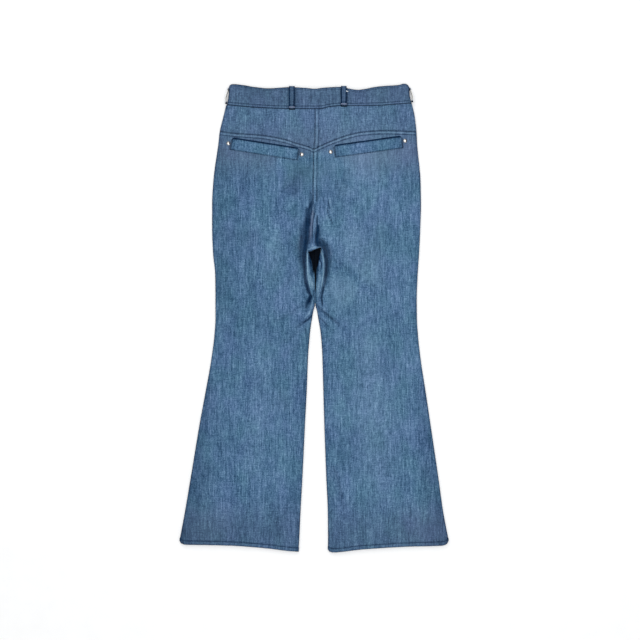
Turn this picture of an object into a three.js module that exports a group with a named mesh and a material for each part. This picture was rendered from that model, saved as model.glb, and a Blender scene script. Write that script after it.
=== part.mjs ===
// Flared jeans laid flat on a surface, back side up, waist towards +Y.
// The back panels and yokes lie on top, the front panels lie underneath on the surface, and every
// piece of cloth is a wall of its own, a seam's width from the next. Sizes are in millimetres.
// The origin is under the middle of the garment, on the surface that it lies on.
import * as THREE from "three";

// Cloth and hardware sizes
const DENIM = 1.2; // one layer
const BAND_DENIM = 2.0; // waistband: two layers
const LOOP_DENIM = 1.4; // belt loop: folded strip
const WELT_DENIM = 1.3; // pocket welt
const HEM_EXTRA = 0.8; // what the turned-up cloth adds to the wall
const HEM_DEPTH = 9;
const SEAM_GAP = 0.3;
const RAISED_SEAM_GAP = 0.9; // along the raised inseam, where two walls meet at an angle
const BAND_HEIGHT = 45;
const LOOP_WIDTH = 13;
const RIVET_RADIUS = 4.5;
const RIVET_HEIGHT = 1.6;
const BUTTON_RADIUS = 8.5;
const BUTTON_THICKNESS = 2.6;

// How the garment lies
const GAP_X = 2.4; // the line between the legs
const SIDE_SEAM_Z = 2.4; // height of the side seams above the floor-side face
const SIDE_ROLL = 12; // width of the rounded edge at a side seam, back
const FRONT_ROLL = 4; // the same, front
const LEG_ROLL = 11; // width of the rounded edge at an inseam, back
const SEAT_RUN = 20; // from the centre seam to the flat of the seat
const VALLEY_RUN = 18; // from the flat of the leg into the hollow beside the crotch seam
const WAIST_BULGE = 1.9; // the back waist rises over the overlap of the front waistband
const BAND_LIFT = 1.7; // the front waistband lies on its belt loops
const BUTTON_LIFT = 1.2; // and a little higher over the button
const FRONT_DIP = 13; // the front waist is cut lower than the back
const WAIST_MIDDLE = { x: 11.5, y: 482.6 };
const WAIST_HALF = 208.5;

// Side seams as seen from above
const OUTLINE = [
  { y: 485, left: -197, right: 220 },
  { y: 462, left: -202.5, right: 225.5 },
  { y: 446, left: -206.5, right: 228 },
  { y: 419, left: -213, right: 231 },
  { y: 392, left: -216, right: 232.5 },
  { y: 365, left: -220, right: 235 },
  { y: 338, left: -224, right: 238 },
  { y: 311, left: -227, right: 240 },
  { y: 257, left: -230, right: 241 },
  { y: 203, left: -230, right: 239.5 },
  { y: 149, left: -228, right: 237 },
  { y: 95, left: -223, right: 233.5 },
  { y: 41, left: -222.5, right: 231.5 },
  { y: 0, left: -222.5, right: 232 },
  { y: -40, left: -225, right: 234.5 },
  { y: -94, left: -232, right: 240.5 },
  { y: -162, left: -244, right: 251 },
  { y: -229, left: -256.5, right: 261 },
  { y: -364, left: -279, right: 281 },
  { y: -432, left: -290.5, right: 290.5 },
  { y: -499, left: -303, right: 303 },
];

// Inner edges of the two legs, from where they part to the hem
const INSEAM = [
  { y: 27, left: 1.4, right: 3.4 },
  { y: 14, left: -2.2, right: 7 },
  { y: 0, left: -4.5, right: 9.2 },
  { y: -13, left: -6.8, right: 11.7 },
  { y: -40, left: -9.9, right: 15.5 },
  { y: -81, left: -13.3, right: 18.4 },
  { y: -162, left: -16.5, right: 20.8 },
  { y: -229, left: -20, right: 22.7 },
  { y: -364, left: -26.6, right: 27.7 },
  { y: -432, left: -30.4, right: 30.8 },
  { y: -499, left: -33.5, right: 31.5 },
  { y: -528, left: -35, right: 31 },
];

// Height of the middle of the back wall, and of the underside of the front wall
const LIE = [
  { y: 528, back: 6.8, floor: BAND_LIFT },
  { y: 455, back: 6.6, floor: BAND_LIFT },
  { y: 400, back: 5.7, floor: 0 },
  { y: 250, back: 5.6, floor: 0 },
  { y: 100, back: 5.6, floor: 0 },
  { y: -200, back: 5.3, floor: 0 },
  { y: -480, back: 4.9, floor: 0 },
  { y: -528, back: 4.5, floor: 0 },
];

// Edge curves across the garment
const BACK_WAIST_TOP = [
  { x: -194, y: 520 },
  { x: -190, y: 524.5 },
  { x: -182, y: 526.8 },
  { x: -160, y: 524.6 },
  { x: -133, y: 520 },
  { x: -104, y: 517.4 },
  { x: -54, y: 520 },
  { x: -20, y: 518 },
  { x: 4, y: 516 },
  { x: 16, y: 517.8 },
  { x: 60, y: 520.3 },
  { x: 81, y: 516.3 },
  { x: 99, y: 514.2 },
  { x: 117, y: 516.5 },
  { x: 137, y: 520.5 },
  { x: 160, y: 522.8 },
  { x: 189, y: 524.6 },
  { x: 203, y: 527.8 },
  { x: 211, y: 525 },
  { x: 217, y: 518 },
];
const BACK_WAIST_SEAM = [
  { x: -197, y: 480.7 },
  { x: -166, y: 477.6 },
  { x: -140, y: 475.3 },
  { x: -92, y: 472.8 },
  { x: -45, y: 471.3 },
  { x: 14, y: 471.3 },
  { x: 30, y: 475 },
  { x: 60, y: 478.3 },
  { x: 149, y: 479.3 },
  { x: 180, y: 481.6 },
  { x: 220, y: 484.5 },
];
const YOKE_SEAM = [
  { x: -213, y: 421 },
  { x: -196, y: 418.4 },
  { x: -165, y: 415.2 },
  { x: -124, y: 412.5 },
  { x: -92, y: 408 },
  { x: -64, y: 402 },
  { x: -38, y: 394 },
  { x: -13, y: 384.8 },
  { x: 2.7, y: 378.5 },
  { x: 9, y: 383 },
  { x: 29, y: 395 },
  { x: 54, y: 405 },
  { x: 79, y: 413 },
  { x: 104, y: 418.4 },
  { x: 133, y: 421.5 },
  { x: 161, y: 422.4 },
  { x: 196, y: 421.5 },
  { x: 231, y: 420 },
];
const HEM_LEFT = [
  { x: -303, y: -501 },
  { x: -299.5, y: -507.5 },
  { x: -288, y: -510.6 },
  { x: -245, y: -511.2 },
  { x: -185, y: -512.7 },
  { x: -151, y: -514.9 },
  { x: -100, y: -519.4 },
  { x: -65, y: -524 },
  { x: -35, y: -526.5 },
];
const HEM_RIGHT = [
  { x: 31, y: -520 },
  { x: 35, y: -526 },
  { x: 44, y: -528 },
  { x: 63, y: -526.6 },
  { x: 103, y: -521.7 },
  { x: 167, y: -517.2 },
  { x: 210, y: -514.9 },
  { x: 288, y: -512.7 },
  { x: 299, y: -508.8 },
  { x: 303, y: -501 },
];
const CENTRE_SEAM = [
  { y: 475, x: 3 },
  { y: 378, x: 2.7 },
  { y: 311, x: 2 },
  { y: 255, x: 0 },
  { y: 210, x: -1.8 },
  { y: 165, x: -2.9 },
  { y: 153, x: -3 },
];

// The back around the crotch: a hollow on each side, and a raised seam that parts into the two
// inseams just above the row at y 151.4. The front parts a little lower.
const CROTCH_TOP = 255;
const FRONT_PARTS = 150;
const FRONT_FLAT = 200; // above here the front lies flat on the floor right to its centre seam
const RAISED_TO = 60; // below here the raised inseam sinks into the plain edge of the leg
const LEGS_PART = 27;
const BACK_CROTCH = [
  { y: 255, hollowLeft: -22, hollowRight: 20, hollowZ: 5.5, crestLeft: 0, crestRight: 0, crestZ: 5.9 },
  { y: 228, hollowLeft: -17, hollowRight: 11, hollowZ: 4.6, crestLeft: -1.2, crestRight: -1.2, crestZ: 7 },
  { y: 200, hollowLeft: -19.5, hollowRight: 9, hollowZ: 3.6, crestLeft: -2.2, crestRight: -2.2, crestZ: 9 },
  { y: 180, hollowLeft: -24, hollowRight: 10, hollowZ: 3, crestLeft: -2.6, crestRight: -2.6, crestZ: 10.8 },
  { y: 166, hollowLeft: -27, hollowRight: 16, hollowZ: 2.8, crestLeft: -2.9, crestRight: -2.9, crestZ: 12 },
  { y: 153, hollowLeft: -28, hollowRight: 26, hollowZ: 2.7, crestLeft: -3, crestRight: -3, crestZ: 12.6 },
  { y: 151.4, hollowLeft: -28, hollowRight: 27, hollowZ: 2.7, crestLeft: -12.5, crestRight: 15, crestZ: 12.8 },
  { y: 140, hollowLeft: -28.5, hollowRight: 32, hollowZ: 2.6, crestLeft: -17, crestRight: 21.5, crestZ: 12.8 },
  { y: 125, hollowLeft: -27.5, hollowRight: 32, hollowZ: 2.6, crestLeft: -17.5, crestRight: 23, crestZ: 12.4 },
  { y: 106, hollowLeft: -26, hollowRight: 31, hollowZ: 2.7, crestLeft: -16.5, crestRight: 22.8, crestZ: 11.6 },
  { y: 85, hollowLeft: -23, hollowRight: 28, hollowZ: 2.9, crestLeft: -14, crestRight: 20.7, crestZ: 10.4 },
  { y: 62, hollowLeft: -18, hollowRight: 24, hollowZ: 3.4, crestLeft: -9, crestRight: 16, crestZ: 8.4 },
  { y: 43, hollowLeft: -14, hollowRight: 19, hollowZ: 4.2, crestLeft: -3.5, crestRight: 9.5, crestZ: 5.8 },
  { y: 27, hollowLeft: -10, hollowRight: 15, hollowZ: 4.9, crestLeft: 0.8, crestRight: 4, crestZ: 2.4 },
];

// The front around the crotch, as distances from the line between the legs: where it leaves the
// floor, where it folds back, and the foot of the wall that rises to the inseam
const FRONT_CROTCH = [
  { y: 255, foot: 48, fold: 36, foldZ: 0.6, wall: 18, wallZ: 0.6 },
  { y: 180, foot: 48, fold: 36, foldZ: 0.6, wall: 18, wallZ: 0.6 },
  { y: 168, foot: 44, fold: 32, foldZ: 0.7, wall: 9, wallZ: 0.9 },
  { y: 160, foot: 36, fold: 26, foldZ: 0.9, wall: 10, wallZ: 1.4 },
  { y: 151, foot: 26, fold: 16, foldZ: 1.2, wall: 12.5, wallZ: 2.4 },
  { y: 149, foot: 16, fold: 4, foldZ: 1.4, wall: 13, wallZ: 2.8 },
  { y: 140, foot: 10, fold: 1.2, foldZ: 1.4, wall: 11, wallZ: 2.8 },
  { y: 125, foot: 9, fold: 1.2, foldZ: 1.4, wall: 6.5, wallZ: 2.8 },
  { y: 106, foot: 8, fold: 1.2, foldZ: 1.4, wall: 4.5, wallZ: 2.8 },
  { y: 85, foot: 8, fold: 1.2, foldZ: 1.4, wall: 3, wallZ: 2.7 },
  { y: 62, foot: 7, fold: 1.2, foldZ: 1.4, wall: 2, wallZ: 2.6 },
  { y: 43, foot: 6, fold: 1.3, foldZ: 1.4, wall: 1.6, wallZ: 2.3 },
  { y: 27, foot: 5, fold: 1.6, foldZ: 1.2, wall: 1.5, wallZ: 1.6 },
];

// Height of the front's centre seam, which rises under the back's towards the crotch
const FRONT_RISE = [
  { y: 255, z: 0.6 },
  { y: 180, z: 0.6 },
  { y: 168, z: 4 },
  { y: 160, z: 8 },
  { y: 151, z: 10 },
];

// The largest folds of the back: a soft trough (depth) or ridge (negative depth) along each line
const FOLDS = [
  { name: "left knee drag", x1: -8, y1: 22, x2: -92, y2: -8, width: 13, depth: 2.0 },
  { name: "left inner drag", x1: -12, y1: 4, x2: -40, y2: -22, width: 8, depth: 1.4 },
  { name: "right knee drag", x1: 14, y1: 18, x2: 82, y2: -30, width: 12, depth: 2.2 },
  { name: "right inner drag", x1: 18, y1: 0, x2: 42, y2: -36, width: 8, depth: 1.4 },
  { name: "right hem drag", x1: 36, y1: -340, x2: 66, y2: -466, width: 14, depth: 2.0 },
  { name: "right thigh drag", x1: 46, y1: 126, x2: 108, y2: 90, width: 16, depth: 1.6 },
  { name: "left seat drag", x1: -34, y1: 352, x2: -76, y2: 280, width: 20, depth: 1.6 },
  { name: "right seat drag", x1: 50, y1: 296, x2: 96, y2: 238, width: 16, depth: 1.4 },
  { name: "left thigh ridge", x1: -60, y1: 250, x2: -120, y2: 60, width: 26, depth: -1.4 },
  { name: "right thigh ridge", x1: 70, y1: 230, x2: 130, y2: 60, width: 26, depth: -1.4 },
  { name: "left shin ridge", x1: -120, y1: -90, x2: -165, y2: -460, width: 34, depth: -1.2 },
  { name: "right shin ridge", x1: 130, y1: -100, x2: 160, y2: -470, width: 34, depth: -1.2 },
];

const WELTS = [
  { name: "pocket_welt_left", x1: -184.5, y1: 404, x2: -34.5, y2: 380.6, height: 25 },
  { name: "pocket_welt_right", x1: 45.5, y1: 387, x2: 196.5, y2: 408, height: 25 },
];
const RIVETS = [
  { name: "rivet_left_outer", x: -193, y: 393.5 },
  { name: "rivet_left_inner", x: -28, y: 368.7 },
  { name: "rivet_right_inner", x: 37.6, y: 374.5 },
  { name: "rivet_right_outer", x: 205, y: 399.5 },
];
const BACK_LOOPS = [
  { name: "belt_loop_back_left", x: -50 },
  { name: "belt_loop_back_right", x: 65.5 },
];
const FRONT_LOOPS = [
  { name: "belt_loop_front_left", x: -98 },
  { name: "belt_loop_front_right", x: 110 },
];
const SIDE_LOOP_BULGE = 6.2; // how far a side loop's middle stands out from the waistband
const SIDE_LOOP_HEIGHT = 11.5;

const DENIM_BLUE = new THREE.MeshStandardMaterial({ color: 0x54728f, roughness: 0.92, metalness: 0 });
const NICKEL = new THREE.MeshStandardMaterial({ color: 0xc9c8c0, roughness: 0.35, metalness: 1 });

// A smooth curve through a table's rows that never overshoots them
function curve(rows, from, to) {
  const sorted = [...rows].sort((a, b) => a[from] - b[from]);
  const at = sorted.map((row) => row[from]);
  const value = sorted.map((row) => row[to]);
  const last = at.length - 1;
  const rise = at.slice(1).map((a, i) => (value[i + 1] - value[i]) / (a - at[i]));
  const slope = value.map((_, i) => {
    if (i === 0) return rise[0];
    if (i === last) return rise[last - 1];
    if (rise[i - 1] * rise[i] <= 0) return 0;
    return (2 * rise[i - 1] * rise[i]) / (rise[i - 1] + rise[i]);
  });
  return (a) => {
    const place = Math.min(Math.max(a, at[0]), at[last]);
    let i = 0;
    while (i < last - 1 && place > at[i + 1]) i += 1;
    const span = at[i + 1] - at[i];
    const t = (place - at[i]) / span;
    const bend = t * t * (3 - 2 * t);
    return (
      value[i] * (1 - bend) +
      value[i + 1] * bend +
      span * (slope[i] * t * (1 - t) ** 2 - slope[i + 1] * t * t * (1 - t))
    );
  };
}

const sideSeam = { left: curve(OUTLINE, "y", "left"), right: curve(OUTLINE, "y", "right") };
const inseam = { left: curve(INSEAM, "y", "left"), right: curve(INSEAM, "y", "right") };
const backLie = curve(LIE, "y", "back");
const floorLie = curve(LIE, "y", "floor");
const waistTop = curve(BACK_WAIST_TOP, "x", "y");
const waistSeam = curve(BACK_WAIST_SEAM, "x", "y");
const yokeSeam = curve(YOKE_SEAM, "x", "y");
const hem = { left: curve(HEM_LEFT, "x", "y"), right: curve(HEM_RIGHT, "x", "y") };
const centreSeam = curve(CENTRE_SEAM, "y", "x");
const hollowX = {
  left: curve(BACK_CROTCH, "y", "hollowLeft"),
  right: curve(BACK_CROTCH, "y", "hollowRight"),
};
const crestX = {
  left: curve(BACK_CROTCH, "y", "crestLeft"),
  right: curve(BACK_CROTCH, "y", "crestRight"),
};
const hollowZ = curve(BACK_CROTCH, "y", "hollowZ");
const crestZ = curve(BACK_CROTCH, "y", "crestZ");
const frontCrotch = Object.fromEntries(
  ["foot", "fold", "foldZ", "wall", "wallZ"].map((name) => [name, curve(FRONT_CROTCH, "y", name)]),
);
const frontRise = curve(FRONT_RISE, "y", "z");
const outward = { left: -1, right: 1 };

const mix = (a, b, t) => a + (b - a) * t;
const smooth = (t) => {
  const s = Math.min(Math.max(t, 0), 1);
  return s * s * (3 - 2 * s);
};
const gathered = (t) => mix(t, (1 - Math.cos(Math.PI * t)) / 2, 0.7); // closer together at the ends
const fractions = (count) => Array.from({ length: count + 1 }, (_, i) => i / count);

// Depth of the folds at a point of the back
function foldLift(x, y) {
  return FOLDS.reduce((lift, fold) => {
    const runX = fold.x2 - fold.x1;
    const runY = fold.y2 - fold.y1;
    const length = Math.hypot(runX, runY);
    const along = ((x - fold.x1) * runX + (y - fold.y1) * runY) / length ** 2;
    const beside = ((x - fold.x1) * runY - (y - fold.y1) * runX) / length;
    const fade = smooth((along + 0.15) / 0.35) * smooth((1.25 - along) / 0.55);
    return lift - fold.depth * fade * Math.exp(-((beside / fold.width) ** 2));
  }, 0);
}

// The back bulges over the closed waistband's overlap and button
const waistBulge = (x, y) => WAIST_BULGE * smooth((85 - Math.abs(x)) / 55) * smooth((y - 400) / 70);
const buttonBulge = (x, y) => BUTTON_LIFT * smooth((38 - Math.abs(x)) / 24) * smooth((y - 415) / 40);

// Height of the middle of the back wall away from its edges
const backHeight = (x, y) => backLie(y) + waistBulge(x, y) + foldLift(x, y);

// A curve through control points, cut at the given fractions
function through(points, cuts) {
  const line = new THREE.CatmullRomCurve3(points, false, "centripetal");
  return cuts.map((t) => line.getPoint(t));
}

// At a seam two walls end in parallel rims, a seam's gap apart. The gap runs across the seam: level
// at the centre seam and the raised inseam, upright at the side seams and down the legs.
const sinking = (y) => smooth((RAISED_TO - y) / (RAISED_TO - LEGS_PART));
const upright = () => new THREE.Vector3(0, 0, 1);
const across = (side) => (point) => {
  const turn = (Math.PI / 2) * sinking(point.y);
  return new THREE.Vector3(outward[side] * Math.cos(turn), 0, Math.sin(turn));
};

// The middle of the gap between a back and a front panel, along the inseam
function inseamPoint(side, y) {
  if (y < LEGS_PART) {
    return new THREE.Vector3(inseam[side](y) + (outward[side] * DENIM) / 2, y, SIDE_SEAM_Z);
  }
  return new THREE.Vector3(crestX[side](y), y, crestZ(y));
}

// Section of a back panel or yoke at one height y, from the side seam to the inner seam
function backSection(side, y, cuts) {
  const s = outward[side];
  const edge = sideSeam[side](y) - (s * DENIM) / 2;
  const seamZ = floorLie(y) + SIDE_SEAM_Z + SEAM_GAP / 2;
  const crest = inseamPoint(side, y);
  const hollow = new THREE.Vector3(hollowX[side](y), y, hollowZ(y));
  const roll = sinking(y);
  if (y < LEGS_PART) {
    hollow.setX(crest.x + s * LEG_ROLL);
    hollow.setZ(backHeight(hollow.x, y));
  } else if (y > CROTCH_TOP) {
    crest.setX(centreSeam(y));
    crest.setZ(backHeight(crest.x, y) + 0.2);
    hollow.setX(crest.x + s * SEAT_RUN);
    hollow.setZ(backHeight(hollow.x, y));
  }
  crest.addScaledVector(across(side)(crest), SEAM_GAP / 2);
  const flat = hollow.x + s * VALLEY_RUN;
  const shoulder = (t, u) => new THREE.Vector3(mix(hollow.x, crest.x, t), y, mix(hollow.z, crest.z, u));
  const inner = through(
    [
      new THREE.Vector3(flat, y, backHeight(flat, y)),
      new THREE.Vector3(flat - s * VALLEY_RUN * 0.5, y, mix(backHeight(flat, y), hollow.z, 0.5)),
      hollow,
      shoulder(mix(0.45, 0.55, roll), mix(0.5, 0.1, roll)),
      shoulder(mix(0.78, 0.9, roll), mix(0.9, 0.45, roll)),
      crest,
    ],
    cuts.inner,
  );
  const rollEnd = edge - s * SIDE_ROLL;
  const outer = cuts.roll.map((t) => {
    const angle = (t * Math.PI) / 2;
    const x = edge - s * SIDE_ROLL * (1 - Math.cos(angle));
    return new THREE.Vector3(x, y, mix(seamZ, backHeight(x, y), Math.sin(angle)));
  });
  const middle = cuts.middle.map((t) => {
    const x = mix(rollEnd, flat, t);
    return new THREE.Vector3(x, y, backHeight(x, y));
  });
  return [...outer, ...middle, ...inner];
}

// The inner part of a front panel's section: down the leg it curls up to the inseam, and round the
// crotch it folds back under itself and rises as a wall
function frontInner(side, y, height) {
  const s = outward[side];
  const low = height(0);
  const join = inseamPoint(side, y);
  const gap = mix(SEAM_GAP, RAISED_SEAM_GAP, smooth((y - LEGS_PART) / 12));
  join.addScaledVector(across(side)(join), SEAM_GAP / 2 - gap);
  if (y < LEGS_PART) {
    return [
      { out: 14, rise: 0 },
      { out: FRONT_ROLL, rise: 0 },
      { out: 1.4, rise: 0.25 },
      { out: 0.5, rise: 0.5 },
      { out: 0.15, rise: 0.7 },
      { out: 0, rise: 0.86 },
      { out: 0, rise: 1 },
    ].map(({ out, rise }) => new THREE.Vector3(join.x + s * out, y, mix(low, join.z, rise)));
  }
  const floor = floorLie(y);
  const seam = centreSeam(y) + (s * SEAM_GAP) / 2;
  const top = y < FRONT_PARTS ? join : new THREE.Vector3(seam, y, frontRise(y));
  const place = (name, z) => new THREE.Vector3(GAP_X + s * frontCrotch[name](y), y, z + floor);
  const foot = place("foot", DENIM / 2);
  const fold = place("fold", frontCrotch.foldZ(y));
  const wall = place("wall", frontCrotch.wallZ(y));
  const between = (a, b, t, u) => new THREE.Vector3(mix(a.x, b.x, t), y, mix(a.z, b.z, u));
  const points = [
    foot.clone().setX(foot.x + s * 10),
    foot,
    fold,
    between(fold, wall, 0.35, 0.6),
    wall,
    between(wall, top, 0.4, 0.5),
    between(wall, top, 0.8, 0.92),
    top,
  ];
  if (y > FRONT_FLAT) points.forEach((point) => point.setZ(height(point.x)));
  return points;
}

// Section of a front panel at one height y, from the side seam to the inner seam
function frontSection(side, y, cuts) {
  const s = outward[side];
  const height = (x) => floorLie(y) + DENIM / 2 + buttonBulge(x, y);
  const edge = sideSeam[side](y) - (s * DENIM) / 2;
  const seamZ = floorLie(y) + SIDE_SEAM_Z - SEAM_GAP / 2;
  const rollEnd = edge - s * FRONT_ROLL;
  const outer = cuts.roll.map((t) => {
    const angle = (t * Math.PI) / 2;
    const x = edge - s * FRONT_ROLL * (1 - Math.cos(angle));
    return new THREE.Vector3(x, y, mix(seamZ, height(x), Math.sin(angle)));
  });
  const controls = frontInner(side, y, height);
  const middle = cuts.middle.map((t) => {
    const x = mix(rollEnd, controls[0].x, t);
    return new THREE.Vector3(x, y, height(x));
  });
  return [...outer, ...middle, ...through(controls, cuts.inner)];
}

// A cloth wall: a grid of middle points, thickened to both sides along its own normals.
// above gives what a row adds to the upper side, and rims the direction across the gap beside the
// first and the last column.
function clothWall(grid, thickness, { above = () => 0, rims = [] } = {}) {
  const rows = grid.length;
  const columns = grid[0].length;
  const at = (r, c) => grid[Math.min(Math.max(r, 0), rows - 1)][Math.min(Math.max(c, 0), columns - 1)];
  const outer = [];
  const inner = [];
  for (let r = 0; r < rows; r += 1) {
    for (let c = 0; c < columns; c += 1) {
      const point = grid[r][c];
      const along = at(r, c + 1).clone().sub(at(r, c - 1)).normalize();
      const down = at(r + 1, c).clone().sub(at(r - 1, c)).normalize();
      const normal = along.cross(down).normalize();
      const rim = c === 0 ? rims[0] : c === columns - 1 && rims[1];
      if (rim) normal.projectOnPlane(rim(point)).normalize();
      outer.push(point.clone().addScaledVector(normal, thickness / 2 + above(r)));
      inner.push(point.clone().addScaledVector(normal, -thickness / 2));
    }
  }
  const points = [...outer, ...inner];
  const base = rows * columns;
  const index = [];
  const quad = (a, b, c, d) => index.push(a, b, c, a, c, d);
  for (let r = 0; r < rows - 1; r += 1) {
    for (let c = 0; c < columns - 1; c += 1) {
      const a = r * columns + c;
      quad(a, a + 1, a + columns + 1, a + columns);
      quad(base + a, base + a + columns, base + a + columns + 1, base + a + 1);
    }
  }
  for (let c = 0; c < columns - 1; c += 1) {
    const far = (rows - 1) * columns + c;
    quad(c + 1, c, base + c, base + c + 1);
    quad(far, far + 1, base + far + 1, base + far);
  }
  for (let r = 0; r < rows - 1; r += 1) {
    const near = r * columns;
    const far = near + columns - 1;
    quad(near, near + columns, base + near + columns, base + near);
    quad(far + columns, far, base + far, base + far + columns);
  }
  return closed(points, index);
}

// A geometry from points and triangles, turned so that its faces point out
function closed(points, index) {
  let volume = 0;
  for (let i = 0; i < index.length; i += 3) {
    const [a, b, c] = [points[index[i]], points[index[i + 1]], points[index[i + 2]]];
    volume += a.clone().cross(b).dot(c);
  }
  const facing = volume > 0 ? index : index.reverse();
  const geometry = new THREE.BufferGeometry().setFromPoints(points);
  geometry.setIndex(facing);
  geometry.computeVertexNormals();
  return geometry;
}

function piece(name, geometry, material = DENIM_BLUE) {
  const mesh = new THREE.Mesh(geometry, material);
  mesh.name = name;
  return mesh;
}

const BACK_CUTS = {
  roll: [0, 0.3, 0.6, 1],
  middle: [0.2, 0.4, 0.6, 0.8],
  inner: [0, 0.2, 0.4, 0.55, 0.7, 0.85, 1],
};
const FRONT_CUTS = {
  roll: [0, 0.5, 1],
  middle: [0.33, 0.67],
  inner: [0, 0.16, 0.3, 0.42, 0.56, 0.7, 0.85, 1],
};

// A section whose points are moved to a curved line, such as a seam or a hem
function sectionOn(section, side, line, cuts, guess) {
  const first = section(side, guess, cuts);
  return first.map((point, i) => {
    let y = line(point.x);
    const again = section(side, y, cuts)[i];
    y = line(again.x);
    return section(side, y, cuts)[i];
  });
}

// Heights of the sections. Both panels share the rows along the raised inseam, so that their edges
// run side by side.
const INSEAM_ROWS = [149, 140, 131, 119, 106, 92, 78, 65, 54, 44, 35, 27];
const BACK_ROWS = [
  ...[345, 310, 280, 255, 232, 214, 198, 184, 172, 162, 155.5, 153, 151.4],
  ...INSEAM_ROWS,
  ...[18, 6, -10, -28, -50, -80, -120, -170, -230, -290, -350, -400, -440, -475],
];
const FRONT_ROWS = [
  ...[400, 340, 280, 225, 190, 180, 172, 165, 158, 151],
  ...INSEAM_ROWS,
  ...[10, -18, -80, -160, -260, -370, -475],
];

function hemRows(section, side, cuts) {
  const above = (distance) => (x) => hem[side](x) + distance;
  return [HEM_DEPTH + 0.6, HEM_DEPTH, HEM_DEPTH / 2, 0].map((distance) =>
    sectionOn(section, side, above(distance), cuts, -500),
  );
}

// A panel's wall. Its rows are turned so that the upper side comes first, and its last three rows
// are the turned-up hem.
function panel(side, grid) {
  const rows = side === "left" ? [...grid].reverse() : grid;
  const hemRow = (r) => (side === "left" ? r < 3 : r >= rows.length - 3);
  return clothWall(rows, DENIM, {
    above: (r) => (hemRow(r) ? HEM_EXTRA : 0),
    rims: [upright, across(side)],
  });
}

function backPanel(side) {
  const top = sectionOn(backSection, side, (x) => yokeSeam(x) - SEAM_GAP / 2, BACK_CUTS, 400);
  const below = top.map((point, i) => backSection(side, mix(point.y, BACK_ROWS[0], 0.5), BACK_CUTS)[i]);
  const rows = BACK_ROWS.map((y) => backSection(side, y, BACK_CUTS));
  return panel(side, [top, below, ...rows, ...hemRows(backSection, side, BACK_CUTS)]);
}

// The front waist seam, lower than the back one towards the middle
const frontSeam = (x) =>
  WAIST_MIDDLE.y + 0.0091 * (x - WAIST_MIDDLE.x) -
  FRONT_DIP * (1 - Math.min(Math.abs(x - WAIST_MIDDLE.x) / WAIST_HALF, 1) ** 2);

function frontPanel(side) {
  const top = sectionOn(frontSection, side, (x) => frontSeam(x) - SEAM_GAP, FRONT_CUTS, 465);
  const below = top.map((point, i) => frontSection(side, mix(point.y, FRONT_ROWS[0], 0.5), FRONT_CUTS)[i]);
  const rows = FRONT_ROWS.map((y) => frontSection(side, y, FRONT_CUTS));
  return panel(side, [top, below, ...rows, ...hemRows(frontSection, side, FRONT_CUTS)]);
}

function yoke(side) {
  const rows = fractions(4).map((t) =>
    sectionOn(
      backSection,
      side,
      (x) => mix(waistSeam(x) - SEAM_GAP - 0.35, yokeSeam(x) + SEAM_GAP / 2, t),
      BACK_CUTS,
      mix(475, 405, t),
    ),
  );
  return clothWall(side === "left" ? rows.reverse() : rows, DENIM, { rims: [upright, across(side)] });
}

// The waistband's path at one fraction of its height: from the inner end at the front, round the
// right side, across the back, round the left side and to the outer end, which laps over the inner
const LAP = 16; // half of the overlap
const BAND_TURN = 4;
const BAND_FRONT_Z = BAND_LIFT + BAND_DENIM / 2;
const bandSide = {
  left: curve(
    [
      { t: 0, x: -194 },
      { t: 0.3, x: -193 },
      { t: 0.7, x: -193.4 },
      { t: 1, x: -197 },
    ],
    "t",
    "x",
  ),
  right: curve(
    [
      { t: 0, x: 216.6 },
      { t: 0.3, x: 215.6 },
      { t: 0.7, x: 216.4 },
      { t: 1, x: 220 },
    ],
    "t",
    "x",
  ),
};
const bandWave = (x) => 0.7 * Math.sin(x / 26 + 0.6) * smooth((180 - Math.abs(x)) / 60);
const bandBackZ = (x) => backLie(500) + waistBulge(x, 500) + 0.4 + bandWave(x);
const innerEndZ = (x) => mix(BAND_FRONT_Z, 6.3, smooth((56 - x) / 34));
const outerEndZ = (x) => BAND_FRONT_Z + BUTTON_LIFT * smooth((38 - Math.abs(x)) / 24);

function bandRow(t) {
  const backY = (x) => mix(waistTop(x), waistSeam(x), t);
  const frontTop = (x) => waistTop(x) - FRONT_DIP * (1 - ((x - WAIST_MIDDLE.x) / WAIST_HALF) ** 2);
  const frontY = (x) => mix(frontTop(x), frontSeam(x), t);
  const right = bandSide.right(t) - BAND_DENIM / 2;
  const left = bandSide.left(t) + BAND_DENIM / 2;
  const span = (from, to, count, y, z, spread = (u) => u) =>
    fractions(count).map((u) => {
      const x = mix(from, to, spread(u));
      return new THREE.Vector3(x, y(x), z(x));
    });
  const turn = (x, s, low, high) =>
    [-60, -20, 20, 60].map((degrees) => {
      const angle = (degrees * Math.PI) / 180;
      const out = x + s * BAND_TURN * Math.cos(angle);
      const place = (u) => mix(frontY(x), backY(x), u);
      return new THREE.Vector3(out, place((degrees + 90) / 180), mix(low, high, (Math.sin(angle) + 1) / 2));
    });
  const rightIn = right - BAND_TURN;
  const leftIn = left + BAND_TURN;
  return [
    ...span(-LAP, 60, 6, frontY, innerEndZ),
    ...span(85, rightIn, 4, frontY, innerEndZ),
    ...turn(rightIn, 1, BAND_FRONT_Z, bandBackZ(rightIn)),
    ...span(rightIn, leftIn, 30, backY, bandBackZ, gathered),
    ...turn(leftIn, -1, BAND_FRONT_Z, bandBackZ(leftIn)).reverse(),
    ...span(leftIn, -55, 5, frontY, outerEndZ),
    ...span(-38, LAP, 5, frontY, outerEndZ),
  ];
}

const waistband = () => clothWall([0, 0.12, 0.5, 0.88, 1].map(bandRow), BAND_DENIM);

// A strip of cloth along a path, with its width along one axis
function strip(path, width, axis, thickness) {
  const half = axis.clone().multiplyScalar(width / 2);
  return clothWall(
    path.map((point) => [point.clone().sub(half), point.clone().add(half)]),
    thickness,
  );
}

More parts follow.
